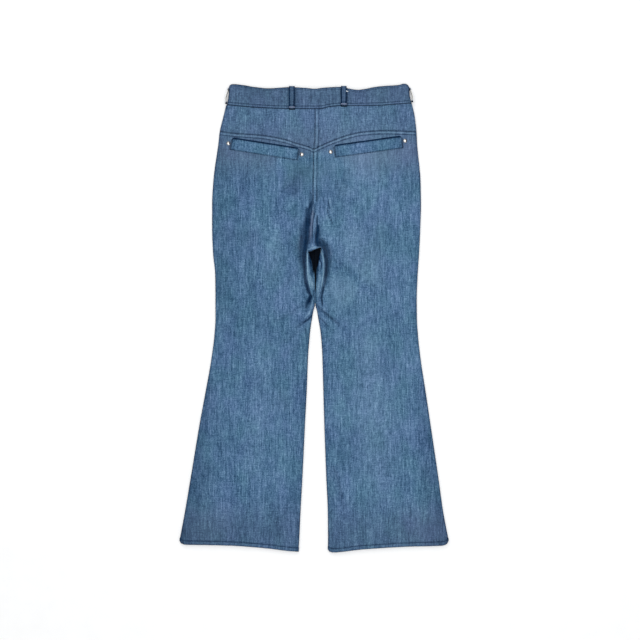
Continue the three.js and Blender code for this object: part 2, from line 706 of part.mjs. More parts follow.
// A belt loop on the back: over the waistband's top edge, then down to its lower seam
function backLoop(x) {
  const highest = Math.max(waistTop(x - LOOP_WIDTH / 2), waistTop(x), waistTop(x + LOOP_WIDTH / 2));
  const top = highest + LOOP_DENIM / 2 + SEAM_GAP + 0.2;
  const bottom = waistSeam(x);
  const band = bandBackZ(x);
  const rest = BAND_DENIM / 2 + SEAM_GAP + LOOP_DENIM / 2 + 0.45;
  const path = [
    { y: top + 0.4, up: -0.4 },
    { y: top + 0.2, up: rest - 0.8 },
    { y: top - 1.8, up: rest + 0.2 },
    { y: mix(top, bottom, 0.25), up: rest + 1.5 },
    { y: mix(top, bottom, 0.55), up: rest + 2.0 },
    { y: mix(top, bottom, 0.85), up: rest + 1.0 },
    { y: bottom + 1.5, up: rest + 0.1 },
    { y: bottom - 3, up: rest - 0.6 },
  ].map((step) => new THREE.Vector3(x, step.y, band + step.up));
  return strip(path, LOOP_WIDTH, new THREE.Vector3(1, 0, 0), LOOP_DENIM);
}

// A belt loop on the front lies flat between the waistband and the floor
function frontLoop(x) {
  const bottom = frontSeam(x) + 1;
  const top = bottom + BAND_HEIGHT - 6;
  const path = fractions(3).map((t) => new THREE.Vector3(x, mix(top, bottom, t), LOOP_DENIM / 2));
  return strip(path, LOOP_WIDTH, new THREE.Vector3(1, 0, 0), LOOP_DENIM);
}

// A belt loop at a side seam stands on edge and bows out from the waistband
function sideLoop(side) {
  const s = outward[side];
  const clear = SEAM_GAP + LOOP_DENIM / 2 + 0.1;
  const path = [
    { t: 0.14, out: 0 },
    { t: 0.24, out: 0.3 },
    { t: 0.36, out: 0.75 },
    { t: 0.52, out: 1 },
    { t: 0.68, out: 0.95 },
    { t: 0.8, out: 0.6 },
    { t: 0.88, out: 0.15 },
    { t: 0.97, out: 0 },
  ].map(({ t, out }) => {
    const edge = bandSide[side](t);
    const y = mix(521, waistSeam(edge) + 2, t);
    return new THREE.Vector3(edge + s * (clear + out * SIDE_LOOP_BULGE), y, SIDE_LOOP_HEIGHT / 2);
  });
  return strip(path, SIDE_LOOP_HEIGHT, new THREE.Vector3(0, 0, 1), LOOP_DENIM);
}

// A pocket welt lies on the back panel, a gap above it
function welt({ x1, y1, x2, y2, height }) {
  const slope = (y2 - y1) / (x2 - x1);
  const lift = DENIM / 2 + SEAM_GAP + WELT_DENIM / 2;
  const rows = fractions(2).map((v) =>
    fractions(8).map((u) => {
      const x = mix(x1, x2, u) + slope * v * height;
      const y = mix(y1, y2, u) - v * height;
      return new THREE.Vector3(x, y, backHeight(x, y) + lift + 0.1);
    }),
  );
  return clothWall(rows, WELT_DENIM);
}

// A rivet: a low cap with a raised middle, standing square to the cloth
function rivet({ x, y }) {
  const profile = [
    [0, 0],
    [RIVET_RADIUS, 0],
    [RIVET_RADIUS, 0.45],
    [RIVET_RADIUS * 0.86, 0.95],
    [RIVET_RADIUS * 0.52, 1.1],
    [RIVET_RADIUS * 0.42, RIVET_HEIGHT],
    [0, RIVET_HEIGHT],
  ].map(([r, z]) => new THREE.Vector2(r, z));
  const turned = new THREE.LatheGeometry(profile, 20).rotateX(Math.PI / 2);
  const step = 4;
  const slopeX = (backHeight(x + step, y) - backHeight(x - step, y)) / (2 * step);
  const slopeY = (backHeight(x, y + step) - backHeight(x, y - step)) / (2 * step);
  const normal = new THREE.Vector3(-slopeX, -slopeY, 1).normalize();
  const turn = new THREE.Quaternion().setFromUnitVectors(new THREE.Vector3(0, 0, 1), normal);
  turned.applyQuaternion(turn);
  const seat = new THREE.Vector3(x, y, backHeight(x, y));
  seat.addScaledVector(normal, DENIM / 2 + SEAM_GAP + 0.15);
  return turned.translate(seat.x, seat.y, seat.z);
}

// The waist button under the front overlap, with a rim and a dished middle towards the floor
function button() {
  const rim = BUTTON_RADIUS - 1.6;
  const profile = [
    [0, 0.7],
    [rim - 0.8, 0.7],
    [rim, 0],
    [BUTTON_RADIUS - 0.5, 0],
    [BUTTON_RADIUS, 0.5],
    [BUTTON_RADIUS, 1.5],
    [BUTTON_RADIUS - 0.8, 2],
    [3, 2],
    [3, BUTTON_THICKNESS],
    [0, BUTTON_THICKNESS],
  ].map(([r, z]) => new THREE.Vector2(r, z));
  const y = frontSeam(0) + BAND_HEIGHT / 2;
  return new THREE.LatheGeometry(profile, 24).rotateX(Math.PI / 2).translate(0, y, 0);
}

const jeans = new THREE.Group();
jeans.name = "flared_jeans";
for (const side of ["left", "right"]) {
  jeans.add(piece(`back_${side}`, backPanel(side)));
  jeans.add(piece(`front_${side}`, frontPanel(side)));
  jeans.add(piece(`yoke_${side}`, yoke(side)));
  jeans.add(piece(`belt_loop_side_${side}`, sideLoop(side)));
}
jeans.add(piece("waistband", waistband()));
BACK_LOOPS.forEach(({ name, x }) => jeans.add(piece(name, backLoop(x))));
FRONT_LOOPS.forEach(({ name, x }) => jeans.add(piece(name, frontLoop(x))));
WELTS.forEach((row) => jeans.add(piece(row.name, welt(row))));
RIVETS.forEach((row) => jeans.add(piece(row.name, rivet(row), NICKEL)));
jeans.add(piece("waist_button", button(), NICKEL));

export default jeans;
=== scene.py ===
"""Flared denim jeans laid flat on a pale floor, back side up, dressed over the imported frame.

Lengths are in millimetres in the tables and functions below, as on a cutting table, and every mesh is
made in metres. X runs across the garment, Y from the hems to the waist, and Z up from the floor.
"""
import math
import bpy
import numpy as np
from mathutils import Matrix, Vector
from mathutils.bvhtree import BVHTree


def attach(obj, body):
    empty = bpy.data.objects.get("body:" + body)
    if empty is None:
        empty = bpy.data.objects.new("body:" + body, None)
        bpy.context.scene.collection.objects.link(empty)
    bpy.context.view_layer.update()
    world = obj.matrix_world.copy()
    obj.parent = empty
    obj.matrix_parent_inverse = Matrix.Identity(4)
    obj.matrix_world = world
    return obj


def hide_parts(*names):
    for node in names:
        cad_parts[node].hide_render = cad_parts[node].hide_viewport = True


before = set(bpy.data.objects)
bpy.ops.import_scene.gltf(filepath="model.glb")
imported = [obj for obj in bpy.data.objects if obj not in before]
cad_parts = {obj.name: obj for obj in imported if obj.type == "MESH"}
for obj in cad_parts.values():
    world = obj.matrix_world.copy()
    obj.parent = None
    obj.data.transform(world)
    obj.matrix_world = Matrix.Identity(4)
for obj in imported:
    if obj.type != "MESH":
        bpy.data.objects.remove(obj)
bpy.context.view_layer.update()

MM = 0.001

# Cloth and hardware sizes, as in the frame
DENIM = 1.2
BAND_DENIM = 2.0
LOOP_DENIM = 1.4
WELT_DENIM = 1.3
HEM_EXTRA = 0.8
HEM_DEPTH = 9
SEAM_GAP = 0.3
RAISED_SEAM_GAP = 0.6  # 0.9 in the frame
BAND_HEIGHT = 45
LOOP_WIDTH = 13
RIVET_RADIUS = 4.5

# How the garment lies, as in the frame
GAP_X = 2.4
SIDE_SEAM_Z = 2.4
SIDE_ROLL = 12
FRONT_ROLL = 4
FRONT_CURL = 14  # width of the curled edge at an inseam, front
LEG_ROLL = 11
SEAT_RUN = 20
VALLEY_RUN = 18
WAIST_BULGE = 1.9
BAND_LIFT = 1.7
BUTTON_LIFT = 1.2
FRONT_DIP = 13
WAIST_MIDDLE_X = 11.5
WAIST_MIDDLE_Y = 482.6
WAIST_HALF = 208.5
CROTCH_TOP = 255
FRONT_PARTS = 150
BACK_PARTS = 152.2
FRONT_FLAT = 200
RAISED_TO = 60
LEGS_PART = 27
OUT = {"left": -1, "right": 1}

# In the scene alone: the stitches under the front rest on the floor, and its cloth just over it
FRONT_LIFT = 0.25


def rows(text):
    """Rows of numbers, with commas between the rows."""
    return np.array([row.split() for row in text.split(",")], float)


def creases(text):
    """Soft creases, one to a line: width, depth and darkness, then the points that it runs along.

    A ridge has a depth below zero, and lighter cloth a darkness below zero. On the creases, darkness is
    painted shade in a hollow, with some less faded dye, and lighter cloth is a painted highlight on a
    ridge, with some wear.
    """
    lines = []
    for line in text.strip().splitlines():
        shape, points = line.split(":")
        width, depth, dark = (float(v) for v in shape.split())
        lines.append({"width": width, "depth": depth, "dark": dark, "points": rows(points)})
    return lines


def mix(a, b, t):
    return a + (b - a) * t


def smooth(t):
    s = np.clip(t, 0, 1)
    return s * s * (3 - 2 * s)


def bell(away, width):
    """1 where away is 0, and close to 0 from two widths on."""
    return np.exp(-((away / width) ** 2))


def curve(at, value):
    """A smooth curve through values at given places that never overshoots them."""
    order = np.argsort(at)
    at, value = at[order], value[order]
    rise = np.diff(value) / np.diff(at)
    product = rise[:-1] * rise[1:]
    total = np.where(product > 0, rise[:-1] + rise[1:], 1)
    slope = np.concatenate([rise[:1], np.where(product > 0, 2 * product / total, 0), rise[-1:]])

    def look_up(a):
        place = np.clip(a, at[0], at[-1])
        i = np.clip(np.searchsorted(at, place) - 1, 0, len(at) - 2)
        span = at[i + 1] - at[i]
        t = (place - at[i]) / span
        bend = t * t * (3 - 2 * t)
        turn = slope[i] * t * (1 - t) ** 2 - slope[i + 1] * t * t * (1 - t)
        return value[i] * (1 - bend) + value[i + 1] * bend + span * turn

    return look_up


def curves(names, text):
    """Curves through rows of numbers: one for each named column, over the first column."""
    at, *columns = rows(text).T
    return {name: curve(at, column) for name, column in zip(names.split(), columns)}


# The garment's lines across its width, as rows of x and y, and along its length, as rows that start
# with y. Near the yoke's point and at the crotch's crests they differ a little from the frame's.

side_seam = curves("left right", """
    485 -197 220, 462 -202.5 225.5, 446 -206.5 228, 419 -213 231, 392 -216 232.5, 365 -220 235,
    338 -224 238, 311 -227 240, 257 -230 241, 203 -230 239.5, 149 -228 237, 95 -223 233.5,
    41 -222.5 231.5, 0 -222.5 232, -40 -225 234.5, -94 -232 240.5, -162 -244 251, -229 -256.5 261,
    -364 -279 281, -432 -290.5 290.5, -499 -303 303
""")
inseam = curves("left right", """
    27 1.4 3.4, 14 -2.2 7, 0 -4.5 9.2, -13 -6.8 11.7, -40 -9.9 15.5, -81 -13.3 18.4, -162 -16.5 20.8,
    -229 -20 22.7, -364 -26.6 27.7, -432 -30.4 30.8, -499 -33.5 31.5, -528 -35 31
""")
back_lie, floor_lie = curves("back floor", f"""
    528 6.8 {BAND_LIFT}, 455 6.6 {BAND_LIFT}, 400 5.7 0, 250 5.6 0, 100 5.6 0, -200 5.3 0, -480 4.9 0,
    -528 4.5 0
""").values()
waist_top = curve(*rows("""
    -194 520, -190 524.5, -182 526.8, -160 524.6, -133 520, -104 517.4, -54 520, -20 518, 4 516, 16 517.8,
    60 520.3, 81 516.3, 99 514.2, 117 516.5, 137 520.5, 160 522.8, 189 524.6, 203 527.8, 211 525, 217 518
""").T)
waist_seam = curve(*rows("""
    -197 480.7, -166 477.6, -140 475.3, -92 472.8, -45 471.3, 14 471.3, 30 475, 60 478.3, 149 479.3,
    180 481.6, 220 484.5
""").T)
yoke_seam = curve(*rows("""
    -213 421, -196 418.4, -165 415.2, -124 412.5, -92 408, -64 402, -38 393.4, -22 389, -11 385.6,
    -1 381.2, 9.5 385.8, 29 394.8, 54 404.8, 79 413, 104 418.4, 133 421.5, 161 422.4, 196 421.5, 231 420
""").T)
hem_left = curve(*rows("""
    -303 -501, -299.5 -507.5, -288 -510.6, -245 -511.2, -185 -512.7, -151 -514.9, -100 -519.4, -65 -524,
    -35 -526.5
""").T)
hem_right = curve(*rows("""
    31 -520, 35 -526, 44 -528, 63 -526.6, 103 -521.7, 167 -517.2, 210 -514.9, 288 -512.7, 299 -508.8,
    303 -501
""").T)
centre_seam = curve(*rows("""
    475 2.2, 425 1.9, 400 0.9, 381 -0.6, 362 -1.5, 320 -2.1, 300 -2.6, 255 -2.5, 210 -2.6, 165 -2.9,
    153 -3
""").T)
hem = {"left": hem_left, "right": hem_right}
crotch = curves("hollow_left hollow_right hollow_z crest_left crest_right crest_z", """
    255 -22 20 5.5 -2.5 -2.5 5.9, 228 -17 11 4.6 -2.5 -2.5 7, 200 -19.5 9 3.6 -2.6 -2.6 9,
    180 -24 10 3 -2.7 -2.7 10.8, 166 -27 16 2.8 -2.9 -2.9 12, 153 -28 26 2.7 -3 -3 12.6,
    151.4 -28 27 2.7 -12.5 15 12.8, 140 -28.5 32 2.6 -17 21.5 12.8, 125 -27.5 32 2.6 -17.5 23 12.4,
    106 -26 31 2.7 -16.5 22.8 11.6, 85 -23 28 2.9 -14 20.7 10.4, 62 -18 24 3.4 -9 16 8.4,
    43 -14 19 4.2 -3.5 9.5 5.8, 27 -10 15 4.9 0.8 4 2.4
""")
front_crotch = curves("foot fold fold_z wall wall_z", """
    255 48 36 0.6 18 0.6, 180 48 36 0.6 18 0.6, 168 44 32 0.7 9 0.9, 160 36 26 0.9 10 1.4,
    151 26 6 1.2 12.5 2.4, 149.6 16 0.66 1.4 13 2.8, 140 10 0.66 1.4 11 2.8, 125 9 0.66 1.4 6.5 2.8,
    106 8 0.66 1.4 4.5 2.8, 85 8 0.66 1.4 3 2.7, 62 7 0.66 1.4 2 2.6, 43 6 0.66 1.4 1.6 2.3,
    27 5 1.4 1.2 1.5 1.6
""")
front_rise = curve(*rows("255 0.6, 180 0.6, 168 4, 160 8, 151 10").T)

# The largest folds, which the frame has too: both ends, width and depth
FOLDS = rows("""
    -8 22 -92 -8 13 2, -12 4 -40 -22 8 1.4, 14 18 82 -30 12 2.2, 18 0 42 -36 8 1.4, 36 -340 66 -466 14 2,
    46 126 108 90 16 1.6, -34 352 -76 280 20 1.6, 50 296 96 238 16 1.4, -60 250 -120 60 26 -1.4,
    70 230 130 60 26 -1.4, -120 -90 -165 -460 34 -1.2, 130 -100 160 -470 34 -1.2
""")

# Creases of the back round the crotch, where most of them start. Their darkness is painted shade in the
# hollows, and below zero a painted highlight on the ridges.
CROTCH_CREASES = creases("""
2.6 0.9 1.4: 7.2 230, 6.4 218, 7.6 206, 7.6 195, 5 184, 5.2 173, 9 164
5 0 1.7: 8.4 207, 8.6 196, 7 185, 6.4 174, 7.2 166, 8.4 157
5 0.5 1.15: -15.4 246, -15.6 232, -15.4 216, -14.4 198, -15.6 180, -18 164, -20 148
3.2 0 1: -8.6 258, -10.4 246, -9.4 232, -9.2 220, -10.4 210, -12 203
4.4 0 0.45: -7.4 284, -7.2 262, -6 240
1.5 0.3 1: -4.6 264, -5.7 250, -5.9 240, -6.8 230
5 0 0.2: -9.6 186, -8.6 174, -8 160
3 0 0.55: 7.6 163.4, 11.4 162.6, 15 160
3.4 0.4 1: 12 171, 16.4 163, 21.2 155, 23.6 148, 25 136
10 0.3 0.84: -17 217, -23 196, -27.5 165, -27 135, -24 112
4.6 0.4 1: -19.5 174, -20.5 150, -21.8 120, -20.5 96, -17.4 77, -12.6 61, -8.4 51
3.2 0 0.8: -17.5 77, -12.6 61, -8.6 51
9 0.3 0.95: 17 174, 29 158, 31.5 146, 30 126, 27.5 104, 24.5 82
3.8 0.4 0.6: 25 140, 26.5 124, 26.5 100, 24 79, 21 63, 17.1 50
2.2 0.8 1.3: 20.5 70, 18.6 57, 16.4 47, 17.6 36, 19.4 22
3.2 0.6 1.9: -6.4 52, -9.6 44, -14.5 33
5 0.5 0.4: -11 42, -16 30, -20 18
6.5 0.4 0.6: -9 47, -14 36, -19 24
1.4 0.5 1.1: 0.6 68, -1.3 58, -3.6 51, -7 46, -11 40
1.3 0.3 0.9: 1.2 46, 0.9 38, 0.9 30, 0.9 22
2 -0.7 -0.7: 1.4 60, -0.6 49, -3.2 40, -5.4 29, -9 14, -16 5, -24 -2
2.2 1.2 1.2: -4.6 6, -16 -5, -26 -12
4 0.5 0.4: -19 -3, -30 -14, -42 -24
3.4 0.4 0.3: -21 -22, -18 -36
2.4 0.4 0.25: -12 -36, -26 -46
3.4 1.3 0.5: 6.4 31, 10 25, 17.8 18, 24.5 12.5, 36 2.6, 47 -6.4, 56 -14
4.5 0.4 0.26: 24 12, 40 -1, 58 -18, 72 -30
2 -0.5 -0.3: 10 31, 19 23, 28 15
2 1 0.6: 13 1, 17.8 -4.2, 27 -13, 36 -23
3 0.3 0.2: 36 -23, 48 -34
1.6 0.3 -0.35: 7 40, 10.5 37, 10 33.5
1.4 0.9 1: 31.4 265, 32.6 256, 34.8 247, 35.6 240
1.4 0.8 1: 29.2 247, 30.8 239, 33 231, 36.6 224, 39.6 217, 42 209
2 0.4 0.4: 20 272, 23.4 262, 27 254
2 -0.5 -0.5: 35.5 268, 36.6 256
2 -0.5 -0.4: 28.6 230, 30.6 222
1.8 -0.4 -0.3: 38 254, 42 236
2 0.3 0.3: 45 235, 50 228
1.2 -0.6 -0.25: 4.2 236, 1.8 212, -0.4 188, -0.4 168
1.6 0.4 1: 1.2 256, 1.6 247, 1.4 237, -1.8 222, -3.6 208, -4.1 190, -4.1 168
1.6 -0.4 -0.35: -0.6 255, -5 216, -7 194, -9 176
""")

# Softer creases of the seat, thighs, knees and hems, with painted shade in their hollows and painted
# highlights on their ridges
BACK_CREASES = creases("""
7 0.6 0.16: -30 330, -44 306, -62 290, -84 280
12 0.6 0.24: -10 346, -26 316, -40 292, -48 270
9 0.6 0.1: 16 350, 24 330, 36 306
6 0.5 0.12: 50 330, 66 310, 90 296
6 0.7 0.22: 47 131, 72 112, 104 90
7 0.5 0.12: 70 108, 100 80, 132 58
7 0.5 0.14: -32 110, -52 88, -80 62
8 0.5 0.14: -40 150, -56 176, -66 204
7 0.6 0.12: -30 196, -40 226, -46 262
5 0.5 0.16: -26 30, -50 12, -78 -4, -100 -10
5 0.5 0.14: -30 -28, -52 -44, -80 -58
5 0.4 0.12: -26 -54, -54 -76, -84 -92
5 0.5 0.14: 30 -46, 52 -58, 76 -76
6 0.4 0.1: 38 -72, 62 -90, 90 -112
8 0.5 0.12: -208 24, -180 6, -150 -12
7 0.4 0.1: -208 -18, -184 -34, -160 -42
8 0.5 0.12: 216 28, 190 10, 160 -6
7 0.4 0.1: 218 -14, 192 -32, 168 -40
12 0.5 0.08: -150 330, -162 290, -180 248
12 0.5 0.08: 160 340, 182 300, 198 262
4 0.9 0.26: 44 -336, 56 -372, 64 -410, 68 -440
5 -0.5 -0.12: 54 -330, 66 -370, 78 -430
9 0.4 0.08: -222 -200, -214 -260, -200 -330
9 0.4 0.08: 240 -220, 236 -280, 226 -340
7 0.5 0.1: -60 -420, -70 -460, -84 -504
7 0.4 0.1: -200 -430, -206 -470, -214 -504
7 0.4 0.1: 200 -440, 208 -474, 214 -508
6 0.4 0.1: 104 -452, 108 -480, 116 -514
16 0.4 0.1: -150 190, -140 120, -150 40
16 0.4 -0.1: 150 220, 140 130, 150 60
""")

# The front is hidden, and has creases like those of the back, with painted shade in their hollows
FRONT_CREASES = creases("""
5 0.7 0.3: -20 200, -60 232, -110 246
5 0.6 0.26: -24 168, -70 184, -120 180
5 0.7 0.3: 24 205, 66 236, 118 244
5 0.6 0.26: 28 172, 72 186, 126 186
7 0.5 0.16: -36 70, -90 40, -130 34
7 0.5 0.16: 40 66, 92 44, 138 30
8 0.5 0.14: -60 -30, -110 -52, -160 -48
8 0.5 0.14: 70 -36, 120 -50, 170 -58
9 0.4 0.12: -110 -300, -126 -400, -132 -480
9 0.4 0.12: 130 -310, 140 -400, 150 -480
""")

# Both ends of each welt's upper edge
WELTS = {"left": ((-184.5, 404), (-34.5, 380.6)), "right": ((45.5, 387), (196.5, 408))}
WELT_HEIGHT = 25
WELT_INSET = 1.5  # from a welt's edges to its stitching
MOUTH_CLOTH = 0.3  # thickness of the strip in a pocket's mouth, painted dark as its shadow
RIVETS = {
    "rivet_left_outer": (-193, 393.5),
    "rivet_left_inner": (-28, 368.7),
    "rivet_right_inner": (37.6, 374.5),
    "rivet_right_outer": (205, 399.5),
}
BACK_LOOPS = {"belt_loop_back_left": -50, "belt_loop_back_right": 66.8}
FRONT_LOOPS = {"belt_loop_front_left": -98, "belt_loop_front_right": 110}
SIDE_LOOP_BULGE = 5.2
SIDE_LOOP_HEIGHT = 11.5
LOOP_TOP = 521  # upper end of the side loops
LAP = 16
BAND_TURN = 4


def front_seam(x):
    """The front waist seam, lower than the back one towards the middle."""
    away = np.minimum(abs(x - WAIST_MIDDLE_X) / WAIST_HALF, 1)
    return WAIST_MIDDLE_Y + 0.0091 * (x - WAIST_MIDDLE_X) - FRONT_DIP * (1 - away**2)


def strokes(folds, x, y):
    """The sum of soft strokes at points of the cloth, each along its own line."""
    total = np.zeros(np.broadcast(x, y).shape)
    for x1, y1, x2, y2, width, depth in folds:
        run_x, run_y = x2 - x1, y2 - y1
        length = math.hypot(run_x, run_y)
        along = ((x - x1) * run_x + (y - y1) * run_y) / length**2
        beside = ((x - x1) * run_y - (y - y1) * run_x) / length
        fade = smooth((along + 0.15) / 0.35) * smooth((1.25 - along) / 0.55)
        total += depth * fade * bell(beside, width)
    return total


def nearness(line, x, y):
    """How near points are to a run of points: 1 on it, and 0 away from it."""
    points = line["points"]
    count = len(points) - 1
    nearest = np.full(np.broadcast(x, y).shape, 99.0)
    strength = np.ones_like(nearest)
    for i in range(count):
        (x1, y1), (x2, y2) = points[i], points[i + 1]
        run_x, run_y = x2 - x1, y2 - y1
        along = np.clip(((x - x1) * run_x + (y - y1) * run_y) / (run_x**2 + run_y**2), 0, 1)
        away = np.hypot(x - x1 - along * run_x, y - y1 - along * run_y)
        passed = (i + along) / count
        away = away / line["width"] / (0.65 + 0.35 * np.sin(math.pi * passed))
        strength = np.where(away < nearest, smooth((1.12 - passed) / 0.4), strength)
        nearest = np.minimum(nearest, away)
    return strength * np.exp(-(nearest**2))


def shade(lines, x, y):
    return sum(line["dark"] * nearness(line, x, y) for line in lines)


def relief(lines, x, y):
    return -sum(line["depth"] * nearness(line, x, y) for line in lines if line["depth"])


def skew(x, y):
    """How far the open crotch's top lies higher on the right than on the left."""
    across_gap = mix(-2.0, 7.8, smooth((x + 10) / 24)) * smooth((40 - abs(x - 4)) / 22)
    return across_gap * smooth((y - 96) / 52) * smooth((222 - y) / 60)


def waist_bulge(x, y):
    return WAIST_BULGE * smooth((85 - abs(x)) / 55) * smooth((y - 400) / 70)


def button_bulge(x, y):
    return BUTTON_LIFT * smooth((38 - abs(x)) / 24) * smooth((y - 415) / 40)


def back_height(x, y):
    return back_lie(y) + waist_bulge(x, y) - strokes(FOLDS, x, y)


def sinking(y):
    """0 where the inseam stands up as a ridge, 1 where it is the plain edge of the leg."""
    return smooth((RAISED_TO - y) / (RAISED_TO - LEGS_PART))


def ripple(along, period, seed):
    """An uneven wave along a seam, made of three sines that never line up."""
    turn = 2 * math.pi * along / period
    waves = np.sin(turn + seed) + 0.7 * np.sin(1.7 * turn + 2.1 * seed)
    return (waves + 0.5 * np.sin(0.53 * turn + 4 * seed)) / 2.2


def seam_puckers(x, y):
    """Small waves that the sewing draws into the cloth beside its seams."""
    yoke = yoke_seam(x) - y
    waist = waist_seam(x) - y
    lift = 0.22 * ripple(x, 13, 1.3) * bell(yoke - 4, 7)
    lift += 0.2 * ripple(x, 11, 2.6) * bell(waist, 8)
    middle = x - centre_seam(y)
    lift += 0.25 * ripple(y, 14, 0.7) * bell(middle - 4, 8) * smooth((y - 180) / 40)
    for side, line in hem.items():
        above = y - line(x)
        here = (x * OUT[side] > 0) * smooth((60 - above) / 50)
        lift += 0.3 * here * ripple(x + 0.4 * above, 15, 3.1 + OUT[side]) * bell(above, 16)
    return lift


def felled(x, y):
    """Seam allowances under the cloth: a flat ridge below the yoke and right of the centre seam."""
    under_yoke = smooth((yoke_seam(x) - y + 0.5) / 1) * smooth((8.6 - (yoke_seam(x) - y)) / 1.6)
    right = x - centre_seam(y)
    beside = smooth((right + 0.5) / 1) * smooth((9.6 - right) / 1.6) * smooth((y - 215) / 40)
    return 0.35 * np.maximum(under_yoke, beside)


def catmull(points, cuts):
    """Points of a centripetal curve through control points, one for each cut from 0 to 1.

    points is a list of (x, z) pairs of arrays whose last axis runs over the cuts.
    """
    count = len(points)
    controls = [np.stack(np.broadcast_arrays(*p)) for p in points]
    first = 2 * controls[0] - controls[1]
    last = 2 * controls[-1] - controls[-2]
    controls = [first, *controls, last]
    out = np.empty_like(controls[0])
    for j, cut in enumerate(cuts):
        i = min(int(cut * (count - 1)), count - 2)
        w = cut * (count - 1) - i
        p0, p1, p2, p3 = (controls[i + k][..., j] for k in range(4))
        d0, d1, d2 = (
            np.maximum(((b - a) ** 2).sum(axis=0) ** 0.25, 1e-4) for a, b in ((p0, p1), (p1, p2), (p2, p3))
        )
        t1 = ((p1 - p0) / d0 - (p2 - p0) / (d0 + d1) + (p2 - p1) / d1) * d1
        t2 = ((p2 - p1) / d1 - (p3 - p1) / (d1 + d2) + (p3 - p2) / d2) * d1
        square = -3 * p1 + 3 * p2 - 2 * t1 - t2
        cube = 2 * p1 - 2 * p2 + t1 + t2
        out[..., j] = p1 + t1 * w + square * w**2 + cube * w**3
    return out


def inseam_point(side, y):
    """The middle of the gap between a back and a front panel along the inseam, as (x, z)."""
    leg = y < LEGS_PART
    x = np.where(leg, inseam[side](y) + OUT[side] * DENIM / 2, crotch["crest_" + side](y))
    return x, np.where(leg, SIDE_SEAM_Z, crotch["crest_z"](y))


def outer_part(side, y, cuts, roll, seam_lift, height, inner):
    """A section's rolled side and its middle, as (x, z), and the heights y of what is left of it.

    inner says where the middle ends, and height how high the cloth lies.
    """
    out = OUT[side]
    a, b = len(cuts["roll"]), len(cuts["roll"]) + len(cuts["middle"])

    def edge_at(h):
        return side_seam[side](h) - out * DENIM / 2

    h = y[..., :a]
    angle = np.array(cuts["roll"]) * math.pi / 2
    x_roll = edge_at(h) - out * roll * (1 - np.cos(angle))
    seam_z = floor_lie(h) + SIDE_SEAM_Z + seam_lift
    z_roll = mix(seam_z, height(x_roll, h), np.sin(angle))
    h = y[..., a:b]
    x_middle = mix(edge_at(h) - out * roll, inner(h), np.array(cuts["middle"]))
    return [x_roll, x_middle], [z_roll, height(x_middle, h)], y[..., b:]


def back_section(side, y, cuts):
    """Middle points of a back panel's or yoke's wall at heights y, as (x, z).

    The last axis of y runs from the side seam to the inner seam, over all the cuts.
    """
    out = OUT[side]

    def inner_at(h):
        leg, above = h < LEGS_PART, h > CROTCH_TOP
        crest, top = inseam_point(side, h)
        crest = np.where(above, centre_seam(h), crest)
        top = np.where(above, back_height(crest, h) + 0.2, top)
        hollow = np.where(above, crest + out * SEAT_RUN, crotch["hollow_" + side](h))
        hollow = np.where(leg, crest + out * LEG_ROLL, hollow)
        deep = np.where(leg | above, back_height(hollow, h), crotch["hollow_z"](h))
        turn = math.pi / 2 * sinking(h)
        crest = crest + out * np.cos(turn) * SEAM_GAP / 2
        top = top + np.sin(turn) * SEAM_GAP / 2
        return crest, top, hollow, deep

    def flat_at(h):
        return inner_at(h)[2] + out * VALLEY_RUN

    x_outer, z_outer, h = outer_part(side, y, cuts, SIDE_ROLL, SEAM_GAP / 2, back_height, flat_at)
    crest, top, hollow, deep = inner_at(h)
    roll = sinking(h)
    flat = hollow + out * VALLEY_RUN
    flat_z = back_height(flat, h)

    def shoulder(t, u):
        return mix(hollow, crest, t), mix(deep, top, u)

    controls = [
        (flat, flat_z),
        (flat - out * VALLEY_RUN * 0.5, mix(flat_z, deep, 0.5)),
        (hollow, deep),
        shoulder(mix(0.45, 0.55, roll), mix(0.5, 0.1, roll)),
        shoulder(mix(0.78, 0.9, roll), mix(0.9, 0.45, roll)),
        (crest, top),
    ]
    x_inner, z_inner = catmull(controls, cuts["inner"])
    return np.concatenate([*x_outer, x_inner], axis=-1), np.concatenate([*z_outer, z_inner], axis=-1)


